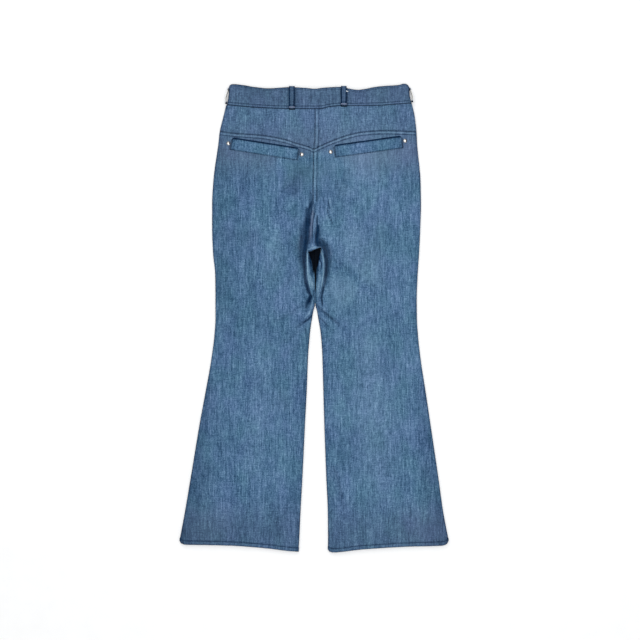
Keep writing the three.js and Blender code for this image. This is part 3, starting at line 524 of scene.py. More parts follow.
def front_section(side, y, cuts):
    """Middle points of a front panel's wall at heights y, as (x, z)."""
    out = OUT[side]

    def height(x, h):
        return floor_lie(h) + DENIM / 2 + button_bulge(x, h)

    def start_at(h):
        leg = inseam_point(side, h)[0] + out * FRONT_CURL
        return np.where(h < LEGS_PART, leg, GAP_X + out * (front_crotch["foot"](h) + 10))

    x_outer, z_outer, h = outer_part(side, y, cuts, FRONT_ROLL, -SEAM_GAP / 2, height, start_at)
    leg = h < LEGS_PART
    turn = math.pi / 2 * sinking(h)
    gap = mix(SEAM_GAP, RAISED_SEAM_GAP, smooth((h - LEGS_PART) / 12))
    join_x, join_z = inseam_point(side, h)
    join_x = join_x + out * np.cos(turn) * (SEAM_GAP / 2 - gap)
    join_z = join_z + np.sin(turn) * (SEAM_GAP / 2 - gap)
    low = height(0, h)
    floor = floor_lie(h)
    closed = h >= FRONT_PARTS
    top_x = np.where(closed, centre_seam(h) + out * SEAM_GAP / 2, join_x)
    top_z = np.where(closed, front_rise(h), join_z)

    def place(name):
        return GAP_X + out * front_crotch[name](h)

    foot, fold, wall = place("foot"), place("fold"), place("wall")
    lap = smooth((h - 30) / 8) * smooth((FRONT_PARTS - h) / 2) * (side == "right")
    fold = fold - 1.4 * lap
    fold_z = front_crotch["fold_z"](h) + floor + 1.7 * lap
    wall_z = front_crotch["wall_z"](h) + floor + 1.3 * lap
    around = [
        (foot + out * 10, low),
        (foot, DENIM / 2 + floor),
        (fold, fold_z),
        (mix(fold, wall, 0.35), mix(fold_z, wall_z, 0.6)),
        (wall, wall_z),
        (mix(wall, top_x, 0.4), mix(wall_z, top_z, 0.5)),
        (mix(wall, top_x, 0.8), mix(wall_z, top_z, 0.92)),
        (top_x, top_z),
    ]
    around = [(x, np.where(h > FRONT_FLAT, height(x, h), z)) for x, z in around]
    curl = ((FRONT_CURL, 0), (FRONT_ROLL, 0), (1.4, 0.25), (0.5, 0.5), (0.15, 0.7), (0, 0.86), (0, 1))
    along_leg = [(join_x + out * reach, mix(low, join_z, rise)) for reach, rise in curl]
    x_around, z_around = catmull(around, cuts["inner"])
    x_leg, z_leg = catmull(along_leg, cuts["inner"])
    x_inner = np.where(leg, x_leg, x_around)
    z_inner = np.where(leg, z_leg, z_around)
    return np.concatenate([*x_outer, x_inner], axis=-1), np.concatenate([*z_outer, z_inner], axis=-1)


def on_line(section, side, line, cuts, guess):
    """Heights of a section's points once they are moved to a curved line, such as a seam."""
    count = sum(len(part) for part in cuts.values())
    y = np.full((1, count), float(guess))
    for _ in range(4):
        y = line(section(side, y, cuts)[0])
    return y[0]


def grid_normals(grid, first=None, last=None):
    """Unit normals of a grid of points. first and last turn those of the edge columns along a seam."""
    padded = np.concatenate([grid[:, :1], grid, grid[:, -1:]], axis=1)
    along = padded[:, 2:] - padded[:, :-2]
    padded = np.concatenate([grid[:1], grid, grid[-1:]], axis=0)
    down = padded[2:] - padded[:-2]
    normal = np.cross(along, down)
    for column, across in ((0, first), (-1, last)):
        if across is not None:
            part = (normal[:, column] * across).sum(axis=-1, keepdims=True)
            normal[:, column] -= part * across
    return normal / np.linalg.norm(normal, axis=-1, keepdims=True)


def wall(name, grid, thickness, above=0.0, first=None, last=None, rounded=True, **attributes):
    """A closed wall of cloth round a grid of middle points, in millimetres, upper side first.

    above is what the upper side gains, and first and last are the directions across the edge
    columns' seams. A rounded wall is thinner at its four edges. attributes are numbers for the
    material, one for each point of the grid.
    """
    shape = grid.shape[:2]
    keep = np.ones(shape)
    for i, share in enumerate((0.4, 0.82) if rounded else ()):
        for edge in (keep[i], keep[-1 - i], keep[:, i], keep[:, -1 - i]):
            np.minimum(edge, share, out=edge)
    normal = grid_normals(grid, first, last)
    if normal[..., 2].mean() < 0:
        normal = -normal
    half = (thickness / 2 * keep)[..., None]
    upper = grid + normal * (half + (above * keep)[..., None])
    lower = grid - normal * half
    points = np.concatenate([upper.reshape(-1, 3), lower.reshape(-1, 3)]) * MM
    base = keep.size
    index = np.arange(base).reshape(shape)
    a, b, c, d = index[:-1, :-1], index[:-1, 1:], index[1:, 1:], index[1:, :-1]
    top = np.stack([a, b, c, d], axis=-1).reshape(-1, 4)
    bottom = np.stack([a, d, c, b], axis=-1).reshape(-1, 4) + base
    loop = np.concatenate([index[0, :], index[1:, -1], index[-1, -2::-1], index[-2:0:-1, 0]])
    following = np.roll(loop, -1)
    rim = np.stack([following, loop, loop + base, following + base], axis=-1)
    faces = np.concatenate([top, bottom, rim])
    corner = points[faces]
    area = np.cross(corner[:, 2] - corner[:, 0], corner[:, 3] - corner[:, 1])
    if (corner.mean(axis=1) * area).sum() < 0:
        faces = faces[:, ::-1]
    piece = mesh_piece(name, points, faces)
    for key, value in attributes.items():
        value = np.broadcast_to(value, shape).ravel()
        set_attribute(piece, key, np.concatenate([value, value]))
    return piece


def mesh_piece(name, points, faces):
    mesh = bpy.data.meshes.new(name)
    faces = faces.tolist() if isinstance(faces, np.ndarray) else faces
    mesh.from_pydata(np.asarray(points, float).tolist(), [], faces)
    mesh.shade_smooth()
    mesh.update()
    piece = bpy.data.objects.new(name, mesh)
    bpy.context.scene.collection.objects.link(piece)
    return piece


def set_attribute(piece, key, values):
    layer = piece.data.attributes.new(key, "FLOAT", "POINT")
    layer.data.foreach_set("value", np.asarray(values, np.float32))


def ends(count, *close):
    """Fractions from 0 to 1 with count even steps and extra ones close to the ends."""
    even = np.linspace(0, 1, count + 1)
    return sorted({*np.round(even, 5), *close})


# Broad patches of lighter and darker cloth, and two dark marks beside the yoke's point
PATCHES = creases("""
34 0 -0.14: -80 180, -110 60
34 0 -0.14: 90 190, 130 60
40 0 -0.1: -110 -60, -150 -420
40 0 -0.12: 120 -60, 150 -420
30 0 0.24: -240 -160, -285 -440, -300 -560
26 0 0.2: 245 -160, 280 -440, 296 -560
22 0 0.16: -200 330, -212 200, -208 80, -208 -20
18 0 0.12: 210 350, 212 290, 212 210
20 0 -0.14: 69 310, 69 270
20 0 -0.16: -122 -460, -96 -466
16 0 0.2: -34 352, -50 300, -40 270
46 0 -0.16: 76 380, 130 352, 120 300
36 0 -0.2: 50 70, 90 40
26 0 0.2: 40 -350, 48 -420
24 0 0.22: 250 -340, 262 -420
26 0 0.2: -238 -340, -252 -420
24 0 0.16: -200 190, -150 182, -112 188
18 0 0.2: -112 -76, -108 -98
26 0 -0.14: -70 -170, -64 -215
24 0 0.14: 192 470, 208 430
1.7 0 1: -13 386.6, -11 386
1.7 0 1.2: 8.6 386.2, 10 386.8
8 0 0.4: 6 266, 8 282, 9 292
""")

# The rims and walls of the open crotch: brighter where they turn up to the light, darker between
CROTCH_RIMS = creases("""
1.9 0 -0.95: -13.5 155, -15.4 144, -15.2 130, -14.8 112, -14.6 96, -12 78, -9 66
1.6 0 -0.85: 12.6 158, 17 148, 21 134, 22.6 119, 22.2 106, 20.3 92, 17.6 76, 15 62
2 0 -0.7: -11 154, -5 158, 0 158.4, 7 159.4, 13 160
1.8 0 -0.35: -4 168, -3 161
3 0 -0.45: -12 100, -9 84, -4 66
3.6 0 -0.5: 14 96, 11 80, 9 62, 9 44
1.8 0 -0.55: 11.5 134, 12 126, 13 118
1.4 0 1.1: 11.4 139, 13.6 131, 16.6 124, 17.4 115, 16 108
3.2 0 0.35: 11 118, 11.5 102
3 0 1.15: -11 151, -9.8 140, -8.4 126, -6 112
2.8 0 1.4: 13 144, 11.6 137, 9 127, 7.6 117
2 0 0.9: 8.4 122, 7.6 110, 6.8 98, 6.2 86, 6 78
1.1 0 0.9: 0.4 65, -1.3 59, -1.4 53, -3 47
2.2 0 0.9: -5 50, -8 45, -10 41
2.4 0 -0.5: -3.4 80, -2.6 72, -1.6 63
3 0 -0.4: -7 96, -5.6 82, -4 72
2.2 0 0.45: -7.6 118, -7 102, -5 92
""")

# Half the width of the painted shadow on the open crotch's bottom, as rows of y and width
painted_gap_shadow_width = curve(*rows("""
    156 12.8, 149 12.4, 140 9.2, 126 6.8, 117 4.8, 104 2.6, 92 1.6, 76 1.1, 66 0.9, 58 0, 27 -0.1
""").T)


def uneven(along, seed):
    """Between 0.6 and 1.2: how a stitched line fades and darkens along its way."""
    return 0.9 + 0.3 * np.clip(ripple(along, 21, seed) + 0.5 * ripple(along, 6.5, seed + 2), -1, 1)


def seam_dark(text, along, away):
    """The darkness of seams and stitched lines, as rows of weight, seed, place and width.

    place is how far a line lies from where away is 0, and a seed other than 0 makes it uneven. Besides the
    dark thread and dye of a seam, the darkness is painted shade in its grooves and along edges, and a
    weight below zero paints a highlight.
    """
    return sum(
        weight * (uneven(along, seed) if seed else 1) * bell(away - place, width)
        for weight, seed, place, width in rows(text)
    )


def softened(dark):
    """Darkness that levels off, so that the weave still shows under the darkest painted shade in the
    hollows.
    """
    return np.where(dark > 0.6, 0.6 + 0.5 * (1 - np.exp(-(dark - 0.6) / 0.5)), dark)


def dye_and_painted_shade(x, y, edge):
    """How dark the back's cloth is at its points: seams, hems and patches, with painted shade in its
    creases, round the open crotch, along its outline and over its left half. Below zero it is worn light,
    with painted highlights on ridges and rims.
    """
    shown = y + skew(x, y)
    dark = shade(CROTCH_CREASES, x, shown) + shade(BACK_CREASES, x, y) + shade(PATCHES, x, y)
    dark = dark + shade(CROTCH_RIMS, x, shown) * smooth((176 - shown) / 12)
    # painted shade along the outline, where the cloth rolls down to the floor, and a little over the left
    # half, which the light reaches less
    dark = dark + seam_dark("0.75 0 0 2.2, 0.16 0 0 10", x, edge) + 0.07 * smooth((10 - x) / 20) - 0.03
    # seams: dark thread and dye with painted shade in their grooves, and a painted highlight on the raised
    # ridge between the two rows of stitching
    dark = dark + seam_dark("0.72 1.1 0 1.5, 0.62 2.4 7.5 1.4, -0.28 0 4.2 1.9", x, yoke_seam(x) - y)
    middle = seam_dark("0.66 3.2 0 1.5, 0.5 0.4 8.5 1.3, -0.24 0 4.3 2.2", y, x - centre_seam(y))
    dark = dark + middle * smooth((y - 240) / 30)
    dark = dark + seam_dark("0.62 4.4 0 1.7", x, waist_seam(x) - y)
    for side, line in hem.items():
        above = y - line(x)
        here = x * OUT[side] > 0
        dark = dark + here * seam_dark(f"0.55 5.1 {HEM_DEPTH} 1.4, 0.55 0 0 1.8", x, above)
        dark = dark + here * 0.22 * smooth((120 - above) / 110)
        # the hem's roping: wear that follows its ripples, with painted light and shade on them
        rope_wear_and_shading = np.clip(ripple(x + 0.5 * above, 15, 3.1 + OUT[side]), -1, 1)
        dark = dark - here * 0.2 * rope_wear_and_shading * bell(above - 4, 5)
    return softened(dark)


WARM_PLACES = creases("""
4 0 0.55: -3 240, -6.5 206, -9 170
8 0 0.3: -28 180, -30 150
34 0 -0.5: -60 350, -10 330, 30 345, 70 350
14 0 -0.3: -66 300, -50 330
""")


def hue(x, y):
    """Warmer, greyer cloth on the raised seam, beside it, round the yoke's seam and at the hems.

    Below zero it is greener.
    """
    low = smooth((-385 - y) / 90) * (0.14 + 0.14 * smooth((abs(x) - 150) / 100))
    high = 0.12 * smooth((y - 300) / 100) + 0.24 * bell(y - 374, 45)
    return shade(WARM_PLACES, x, y + skew(x, y)) + high + low


# Grids of the panels

BACK_CUTS = {
    "roll": ends(8, 0.03, 0.08),
    "middle": list(np.linspace(0, 1, 62))[1:-1],
    "inner": ends(34, 0.985, 0.995),
}
FRONT_CUTS = {
    "roll": ends(5, 0.06),
    "middle": list(np.linspace(0, 1, 40))[1:-1],
    "inner": ends(30, 0.985, 0.995),
}
SEAM_ROWS = (0, 0.35, 1, 2, 3.4, 5, 6.2, 7, 7.6, 8.4, 9.4, 11, 13.5)
HEM_ROWS = (0, 0.35, 1.2, 2.6, 4.5, 6.4, 7.8, 8.6, 9.1, 10, 12, 15)
GRID_STEP = 3.2
CLOSE_STEP = 1.7  # round the crotch


def edge_distance(side, x, y):
    """Distance from the outline of a leg: its side seam, and its inseam below the crotch."""
    outer = abs(side_seam[side](y) - x)
    inner = np.where(y < RAISED_TO - 10, abs(inseam[side](y) - x), 99)
    return np.minimum(outer, inner)


def across(side, y):
    """Direction across the gap beside the inner edge, at heights y."""
    turn = math.pi / 2 * sinking(y)
    return np.stack([OUT[side] * np.cos(turn), 0 * turn, np.sin(turn)], axis=-1)


def between(high, low):
    """Even rows between two rows, about GRID_STEP apart."""
    count = max(int(np.max(high - low) / GRID_STEP), 3)
    return [mix(high, low, i / count) for i in range(1, count)]


def panel_rows(top, bottom, close_top, close_bottom, straight=()):
    """Heights of a panel's rows: close ones at both seams, even ones between, and straight ones."""
    first = [top - d for d in close_top]
    last = [bottom + d for d in reversed(close_bottom)]
    if not straight:
        return np.array([*first, *between(first[-1], last[0]), *last])
    flat = [np.full_like(top, h) for h in straight]
    return np.array([*first, *between(first[-1], flat[0]), *flat, *between(flat[-1], last[0]), *last])


def straight_rows(start, stop, parting):
    """Heights of straight rows, close together where the crotch parts."""
    near = (5, 3.6, 2.4, 1.6, 1.0, 0.4, -0.4, -1.0, -1.6, -2.4, -3.6, -5, -7)
    return [
        *np.arange(start, parting + 105, -GRID_STEP),
        *np.arange(parting + 104, parting + 6, -CLOSE_STEP),
        *(parting + d for d in near),
        *np.arange(parting - 9, -36, -CLOSE_STEP),
        *np.arange(-38, stop, -GRID_STEP),
    ]


def back_grid(side, y):
    x, z = back_section(side, y, BACK_CUTS)
    count = len(BACK_CUTS["inner"])
    settle = np.ones(y.shape[1])
    settle[: len(BACK_CUTS["roll"])] = smooth(np.array(BACK_CUTS["roll"]))
    detail = felled(x, y) + seam_puckers(x, y) + relief(BACK_CREASES, x, y)
    detail = detail + relief(CROTCH_CREASES, x, y + skew(x, y))
    fade = np.ones_like(y)
    near = np.linspace(0, 1, count)
    rows_low = (y[:, -1] < CROTCH_TOP)[:, None]
    fade[:, -count:] = np.where(rows_low, smooth((0.95 - near) / 0.3), 1)
    z = z + settle * fade * detail
    return np.stack([x, y + skew(x, y), z], axis=-1)


def panel(name, side, y, grid, **more):
    """The wall of a panel whose rows lie at heights y, its edges square to the seams beside them."""
    upright = np.array([0.0, 0.0, 1.0])
    return wall(f"{name}_{side}_cloth", grid, DENIM, first=upright, last=across(side, y[:, -1]), **more)


def hem_turn(above):
    """What the turned hem adds to the thickness, at heights above a leg's end."""
    return HEM_EXTRA * smooth((HEM_DEPTH + 0.4 - above) / 1.0)


def back_panel(side):
    top = on_line(back_section, side, lambda x: yoke_seam(x) - SEAM_GAP / 2, BACK_CUTS, 400)
    bottom = on_line(back_section, side, hem[side], BACK_CUTS, -505)
    y = panel_rows(top, bottom, SEAM_ROWS, HEM_ROWS, straight_rows(352, -470, BACK_PARTS))
    grid = back_grid(side, y)
    x = grid[..., 0]
    dark = dye_and_painted_shade(x, y, edge_distance(side, x, y))
    raised = hem_turn(y - hem[side](x))
    return panel("back", side, y, grid, above=raised, dark=dark, warm=hue(x, y))


def yoke(side):
    top = on_line(back_section, side, lambda x: waist_seam(x) - SEAM_GAP - 0.35, BACK_CUTS, 475)
    bottom = on_line(back_section, side, lambda x: yoke_seam(x) + SEAM_GAP / 2, BACK_CUTS, 405)
    y = panel_rows(top, bottom, (0, 0.35, 1, 2.2, 4, 6.5), (0, 0.35, 1, 2, 3.5, 6))
    grid = back_grid(side, y)
    x = grid[..., 0]
    dark = dye_and_painted_shade(x, y, edge_distance(side, x, y))
    return panel("yoke", side, y, grid, dark=dark, warm=hue(x, y))


def front_panel(side):
    top = on_line(front_section, side, lambda x: front_seam(x) - SEAM_GAP, FRONT_CUTS, 465)
    bottom = on_line(front_section, side, hem[side], FRONT_CUTS, -505)
    y = panel_rows(top, bottom, SEAM_ROWS, HEM_ROWS, straight_rows(440, -470, FRONT_PARTS))
    x, z = front_section(side, y, FRONT_CUTS)
    z = z + FRONT_LIFT - relief(FRONT_CREASES, x, y) * smooth((6 - z) / 3)
    grid = np.stack([x, y + skew(x, y), z], axis=-1)
    above = y - hem[side](x)
    edge = edge_distance(side, x, y)
    # painted shade along the outline and the hem's edge, where the cloth rolls to the floor, and the hem's
    # stitch line
    dark = 0.55 * bell(edge, 1.8) + seam_dark(f"0.5 0 0 1.8, 0.5 0 {HEM_DEPTH} 1.4", x, above)
    # painted shade in the creases
    dark = dark + shade(FRONT_CREASES, x, y) * (z < 2)
    # round the open crotch: painted light and shade on its rims and walls, and deep, a painted shadow over
    # its bottom and on the low parts of its walls
    opening = smooth((y - 27) / 6) * smooth((172 - y) / 4) * smooth((26 - abs(x - GAP_X)) / 4)
    shown = y + skew(x, y)
    dark = dark + opening * shade(CROTCH_RIMS, x, shown)
    floor_x = GAP_X + 0.9 * smooth((112 - shown) / 20) + 1.2 * bell(shown - 126, 9)
    deep = opening * smooth((painted_gap_shadow_width(shown) + 1.1 - abs(x - floor_x)) / 1.6)
    deep = np.maximum(deep, opening * smooth((y - 148.8) / 0.8))
    low = opening * smooth((4.6 - z) / 1.2) * smooth((y - 92) / 18)
    wavy = opening * smooth((z - 2) / 2) * 0.5 * ripple(y + 0.6 * x, 26, 1.7 + OUT[side])
    raised = hem_turn(above) + np.maximum(wavy, -0.4)
    return panel("front", side, y, grid, above=raised, dark=dark, deep=np.maximum(deep, low))


# The waistband

BAND_FRONT_Z = BAND_LIFT + BAND_DENIM / 2
BAND_SIDES = {  # share of the waistband's height from its upper edge, and x
    "left": "0 -189, 0.04 -190.6, 0.1 -192, 0.3 -191.8, 0.7 -193.8, 1 -197",
    "right": "0 210.6, 0.04 212.8, 0.1 214.8, 0.18 215.2, 0.3 214.8, 0.7 216.8, 1 220",
}
band_side = {side: curve(*rows(text).T) for side, text in BAND_SIDES.items()}
BAND_STITCHES = 5.6  # from the waist seam up to the stitching and its groove
BAND_TOP_STITCHES = 5  # from the upper edge down to the stitching and its groove

# How many points of a row lie in each part of the waistband, from its inner end
IN_END, IN_LAP, IN_FRONT, IN_TURN, IN_BACK = 3, 24, 30, 15, 170
BEFORE_BACK = IN_END + IN_LAP + IN_FRONT + IN_TURN


def band_back_z(x):
    wave = 0.7 * np.sin(x / 26 + 0.6) * smooth((180 - abs(x)) / 60)
    return back_lie(500) + waist_bulge(x, 500) + 0.4 + wave


def inner_end_z(x):
    return mix(BAND_FRONT_Z, 6.3, smooth((56 - x) / 34))


def outer_end_z(x):
    return BAND_FRONT_Z + BUTTON_LIFT * smooth((38 - abs(x)) / 24)


def band_row(t):
    """Middle points of the waistband at one fraction of its height, from end to end."""

    def back_y(x):
        return mix(waist_top(x), waist_seam(x), t)

    def front_y(x):
        top = waist_top(x) - FRONT_DIP * (1 - ((x - WAIST_MIDDLE_X) / WAIST_HALF) ** 2)
        return mix(top, front_seam(x), t)

    def span(start, stop, count, y, z):
        x = np.linspace(start, stop, count)
        return np.stack([x, y(x), z(x)], axis=-1)

    def turn(x, out):
        angle = np.radians(np.linspace(-80, 80, IN_TURN))
        lift = (np.sin(angle) + 1) / 2
        edge = x + out * BAND_TURN * np.cos(angle)
        y = mix(front_y(x), back_y(edge), lift)
        return np.stack([edge, y, mix(BAND_FRONT_Z, band_back_z(x), lift)], axis=-1)

    right = float(band_side["right"](t)) - BAND_DENIM / 2 - BAND_TURN
    left = float(band_side["left"](t)) + BAND_DENIM / 2 + BAND_TURN
    return np.concatenate(
        [
            span(-LAP, -LAP + 1.2, IN_END, front_y, inner_end_z),
            span(-LAP + 3, 60, IN_LAP, front_y, inner_end_z),
            span(66, right, IN_FRONT, front_y, inner_end_z),
            turn(right, 1),
            span(right, left, IN_BACK, back_y, band_back_z),
            turn(left, -1)[::-1],
            span(left, -44, IN_FRONT, front_y, outer_end_z),
            span(-38, LAP - 3, 18, front_y, outer_end_z),
            span(LAP - 1.2, LAP, IN_END, front_y, outer_end_z),
        ]
    )


def waistband():
    top, bottom = (0, 0.008, 0.025, 0.06, 0.1), (0.84, 0.87, 0.9, 0.94, 0.975, 0.992, 1)
    t = np.array([*top, *np.linspace(0.14, 0.8, 14), *bottom])[:, None]
    grid = np.array([band_row(share) for share in t[:, 0]])
    x = grid[..., 0]
    low = (1 - t) * BAND_HEIGHT
    back = np.zeros(x.shape[1])
    back[BEFORE_BACK : BEFORE_BACK + IN_BACK] = 1
    lift = 0.28 * ripple(x, 12, 5.2) * bell(low, 7)
    lift += 0.2 * ripple(x + 0.3 * low, 23, 1.1) + 0.25 * ripple(x, 60, 2.2)
    lift -= 0.3 * bell(low - BAND_STITCHES, 1.2)
    lift -= 0.25 * bell(t * BAND_HEIGHT - BAND_TOP_STITCHES, 1.4)
    grid[..., 2] += back * lift
    # dark seam and stitch lines with painted shade in their grooves, a painted highlight along the lower
    # edge between them, a darker band overall, and painted shade along the upper edge, where the band
    # turns down
    seam = f"0.6 0 0 1.6, 0.44 1.9 {BAND_STITCHES} 1.4, -0.4 0 2.9 1.2, -0.14 0 8.8 1.6"
    dark = 0.26 + seam_dark(seam, x, low) + 0.95 * bell(t * BAND_HEIGHT, 1.7)
    # painted shadow on the band beside each back loop
    for middle in BACK_LOOPS.values():
        dark = dark + back * 0.4 * bell(abs(x - middle) - LOOP_WIDTH / 2 - 0.8, 1.7)
    dark = dark + back * 0.18 * bell(x - 14, 1.4)
    # painted shade where the band turns round at its ends
    from_end = np.minimum(abs(x - band_side["left"](t)), abs(x - band_side["right"](t)))
    dark = dark + 0.75 * bell(from_end, 2.6)
    return wall("waistband_cloth", grid, BAND_DENIM, dark=dark, warm=0.26)


# Belt loops, welts and hardware

def strip(name, path, width, axis, edges=1.0, tuck=0.0, dark_ends=0.0):
    """A folded strip of cloth along a path, its width along one axis and its edges rounded.

    edges, tuck and dark_ends say how dark it is along its edges, 8 mm from its lower end and at
    both ends: painted shade beside its raised edges, in the crease of its tuck and at its ends. Edges
    below zero paint a highlight along them.
    """
    path = resample(np.array(path, float), 1.2)
    side = np.array(axis, float)
    u = np.array([0, 0.03, 0.08, *np.linspace(0.16, 0.84, 11), 0.92, 0.97, 1]) - 0.5
    grid = path[:, None, :] + u[None, :, None] * width * side
    from_edge = (0.5 - abs(u)) * width
    # a little darker all over, with painted shade along its edges and a faint dark line down its middle
    dark = 0.34 + edges * bell(from_edge - 0.7, 2.2) + 0.12 * bell(u * width, 1.2)
    steps = np.linalg.norm(np.diff(path, axis=0), axis=1)
    left = np.concatenate([np.cumsum(steps[::-1])[::-1], [0]])[:, None]
    to_end = np.minimum(left, left[0] - left)
    dark = dark[None, :] + tuck * bell(left - 8, 1.3) + dark_ends * bell(to_end, 5)
    return wall(name, grid, LOOP_DENIM, dark=dark, warm=0.3)


def resample(path, step):
    """Points along a smooth curve through a path's points, about a step apart."""
    padded = np.concatenate([[2 * path[0] - path[1]], path, [2 * path[-1] - path[-2]]])
    fine = []
    for i in range(len(path) - 1):
        p0, p1, p2, p3 = padded[i : i + 4]
        steps = max(int(np.linalg.norm(p2 - p1) / step), 2)
        w = np.linspace(0, 1, steps, endpoint=False)[:, None]
        square = 2 * p0 - 5 * p1 + 4 * p2 - p3
        cube = 3 * p1 - p0 - 3 * p2 + p3
        fine.append(0.5 * (2 * p1 + (p2 - p0) * w + square * w**2 + cube * w**3))
    return np.concatenate([*fine, path[-1:]])


def back_loop(name, x):
    half = LOOP_WIDTH / 2
    top = max(float(waist_top(x + d)) for d in (-half, 0, half)) + LOOP_DENIM / 2 + SEAM_GAP + 0.2
    bottom = float(waist_seam(x))
    band = float(band_back_z(x))
    rest = BAND_DENIM / 2 + SEAM_GAP + LOOP_DENIM / 2 + 0.45
    steps = (
        (top + 0.4, -0.4),
        (top + 0.2, rest - 0.8),
        (top - 1.8, rest + 0.2),
        (mix(top, bottom, 0.25), rest + 1.5),
        (mix(top, bottom, 0.55), rest + 2.0),
        (mix(top, bottom, 0.85), rest + 1.0),
        (bottom + 3, rest + 0.1),
        (bottom + 0.2, rest - 0.5),
    )
    path = [(x, y, band + up) for y, up in steps]
    return strip(name + "_cloth", path, LOOP_WIDTH, (1, 0, 0), tuck=0.4)


def front_loop(name, x):
    bottom = float(front_seam(x)) + 1
    path = [(x, bottom + t * (BAND_HEIGHT - 6), LOOP_DENIM / 2 + 0.05) for t in np.linspace(1, 0, 4)]
    return strip(name + "_cloth", path, LOOP_WIDTH, (1, 0, 0))


def side_loop(side):
    out = OUT[side]
    clear = SEAM_GAP + LOOP_DENIM / 2 + 0.1
    bows = rows("0.08 0, 0.17 0.06, 0.27 0.36, 0.4 0.64, 0.55 0.82, 0.68 0.86, 0.8 0.64, 0.89 0.2, 0.97 0")
    path = []
    for t, bow in bows:
        edge = float(band_side[side](t))
        y = mix(LOOP_TOP, float(waist_seam(edge)) + 2, t)
        path.append((edge + out * (clear + bow * SIDE_LOOP_BULGE), y, SIDE_LOOP_HEIGHT / 2))
    name = f"belt_loop_side_{side}_cloth"
    # pale edges, a painted highlight where the strip stands on its edge, and painted shade at both ends
    return strip(name, path, SIDE_LOOP_HEIGHT, (0, 0, 1), edges=-1.9, dark_ends=1.8)


def welt_height(x, y):
    return back_height(x, y) + relief(BACK_CREASES, x, y) + felled(x, y) + DENIM / 2


def welt_length(side):
    return WELTS[side][1][0] - WELTS[side][0][0]


def welt_point(side, u, down):
    """A point of a welt: u runs from its left end to its right one, and down from its upper edge."""
    (x1, y1), (x2, y2) = WELTS[side]
    return mix(x1, x2, u) + (y2 - y1) / (x2 - x1) * down, mix(y1, y2, u) - down


def welt(side):
    """A pocket welt: its folded upper edge stands a little proud over the pocket's opening."""
    u = np.array([0, 0.002, 0.006, 0.014, *np.linspace(0.03, 0.97, 64), 0.986, 0.994, 0.998, 1])
    v = np.array([0, 0.012, 0.04, 0.09, *np.linspace(0.15, 0.88, 8), 0.93, 0.97, 0.99, 1])[:, None]
    down = v * WELT_HEIGHT
    x, y = welt_point(side, u, down)
    ends_flat = smooth(np.minimum(u, 1 - u)[None, :] / 0.12)
    puff = 0.7 * ends_flat * bell(down - 2.5, 5)
    pucker = 0.18 * ripple(x, 14, 2.2) * bell(down - 22, 8)
    seat = DENIM / 2 + SEAM_GAP + WELT_DENIM / 2 + 0.1
    z = welt_height(x, y) - DENIM / 2 + seat + puff + pucker
    from_end = np.minimum(u, 1 - u)[None, :] * welt_length(side)
    # its edges darker: stitching with painted shade where they meet the panel and along the upper edge,
    # with a faint painted highlight below that edge
    dark = 0.05 + seam_dark("0.62 2.8 0 1.5", x, WELT_HEIGHT - down)
    dark = dark + seam_dark("0.8 0 0 1.7, 0.45 0 5.5 1.4", x, from_end)
    dark = dark + seam_dark("0.6 0 0 1.5, -0.12 0 6 3", x, down)
    grid = np.stack([x, y, z], axis=-1)
    return wall(f"pocket_welt_{side}_cloth", grid, WELT_DENIM, dark=dark)


def pocket_mouth_shadow(side):
    """The slot between a welt and the cloth above it: a narrow strip of the pocket's inside, painted dark
    as the shadow in the slot.
    """
    u = np.linspace(0.006, 0.994, 90)
    rise = np.array([0.35, 0.8, 1.8, 2.8, 3.4])[:, None]
    taper = smooth(np.minimum(u, 1 - u) / 0.03)[None, :]
    up = 0.35 + (rise - 0.35) * mix(0.35, 1, taper)
    x, y = welt_point(side, u, -up)
    z = welt_height(x, y) + 0.3
    grid = np.stack([x, y, z], axis=-1)[::-1]
    return wall(f"pocket_mouth_shadow_{side}", grid, MOUTH_CLOTH, rounded=False, dark=1.1)


def tube_faces(rings, count, base=0):
    """Faces between rings of count points, and over both ends. base is the number of the first point."""
    faces = []
    for start in range(base, base + (rings - 1) * count, count):
        for i in range(count):
            j = (i + 1) % count
            faces.append((start + i, start + j, start + count + j, start + count + i))
    last = base + (rings - 1) * count
    faces.append(tuple(range(base, base + count))[::-1])
    faces.append(tuple(range(last, last + count)))
    return faces


def lathe(name, profile, segments, seat, normal):
    """A turned piece: (radius, height) pairs in millimetres, set on a point and square to a normal."""
    angle = np.linspace(0, 2 * math.pi, segments, endpoint=False)
    around = np.stack([np.cos(angle), np.sin(angle)], axis=-1)
    points = np.concatenate([np.column_stack([r * around, np.full(segments, z)]) for r, z in profile])
    faces = tube_faces(len(profile), segments)
    turn = Vector((0, 0, 1)).rotation_difference(Vector(normal)).to_matrix()
    points = points @ np.array(turn).T + np.array(seat)
    return mesh_piece(name, points * MM, faces)


# Sewing threads

class Cloth:
    """The dressed cloth seen from one side, for laying stitches on it."""

    def __init__(self, pieces, from_above=True):
        self.sign = 1 if from_above else -1
        points, faces = [], []
        for piece in pieces:
            base = len(points)
            points += [v.co[:] for v in piece.data.vertices]
            faces += [[base + i for i in p.vertices] for p in piece.data.polygons]
        self.tree = BVHTree.FromPolygons(points, faces)

    def at(self, x, y):
        start = Vector((x * MM, y * MM, self.sign * 0.1))
        hit, normal, _, _ = self.tree.ray_cast(start, Vector((0, 0, -self.sign)))
        if hit is None:
            return None
        if normal.z * self.sign < 0:
            normal = -normal
        return np.array(hit) / MM, np.array(normal)


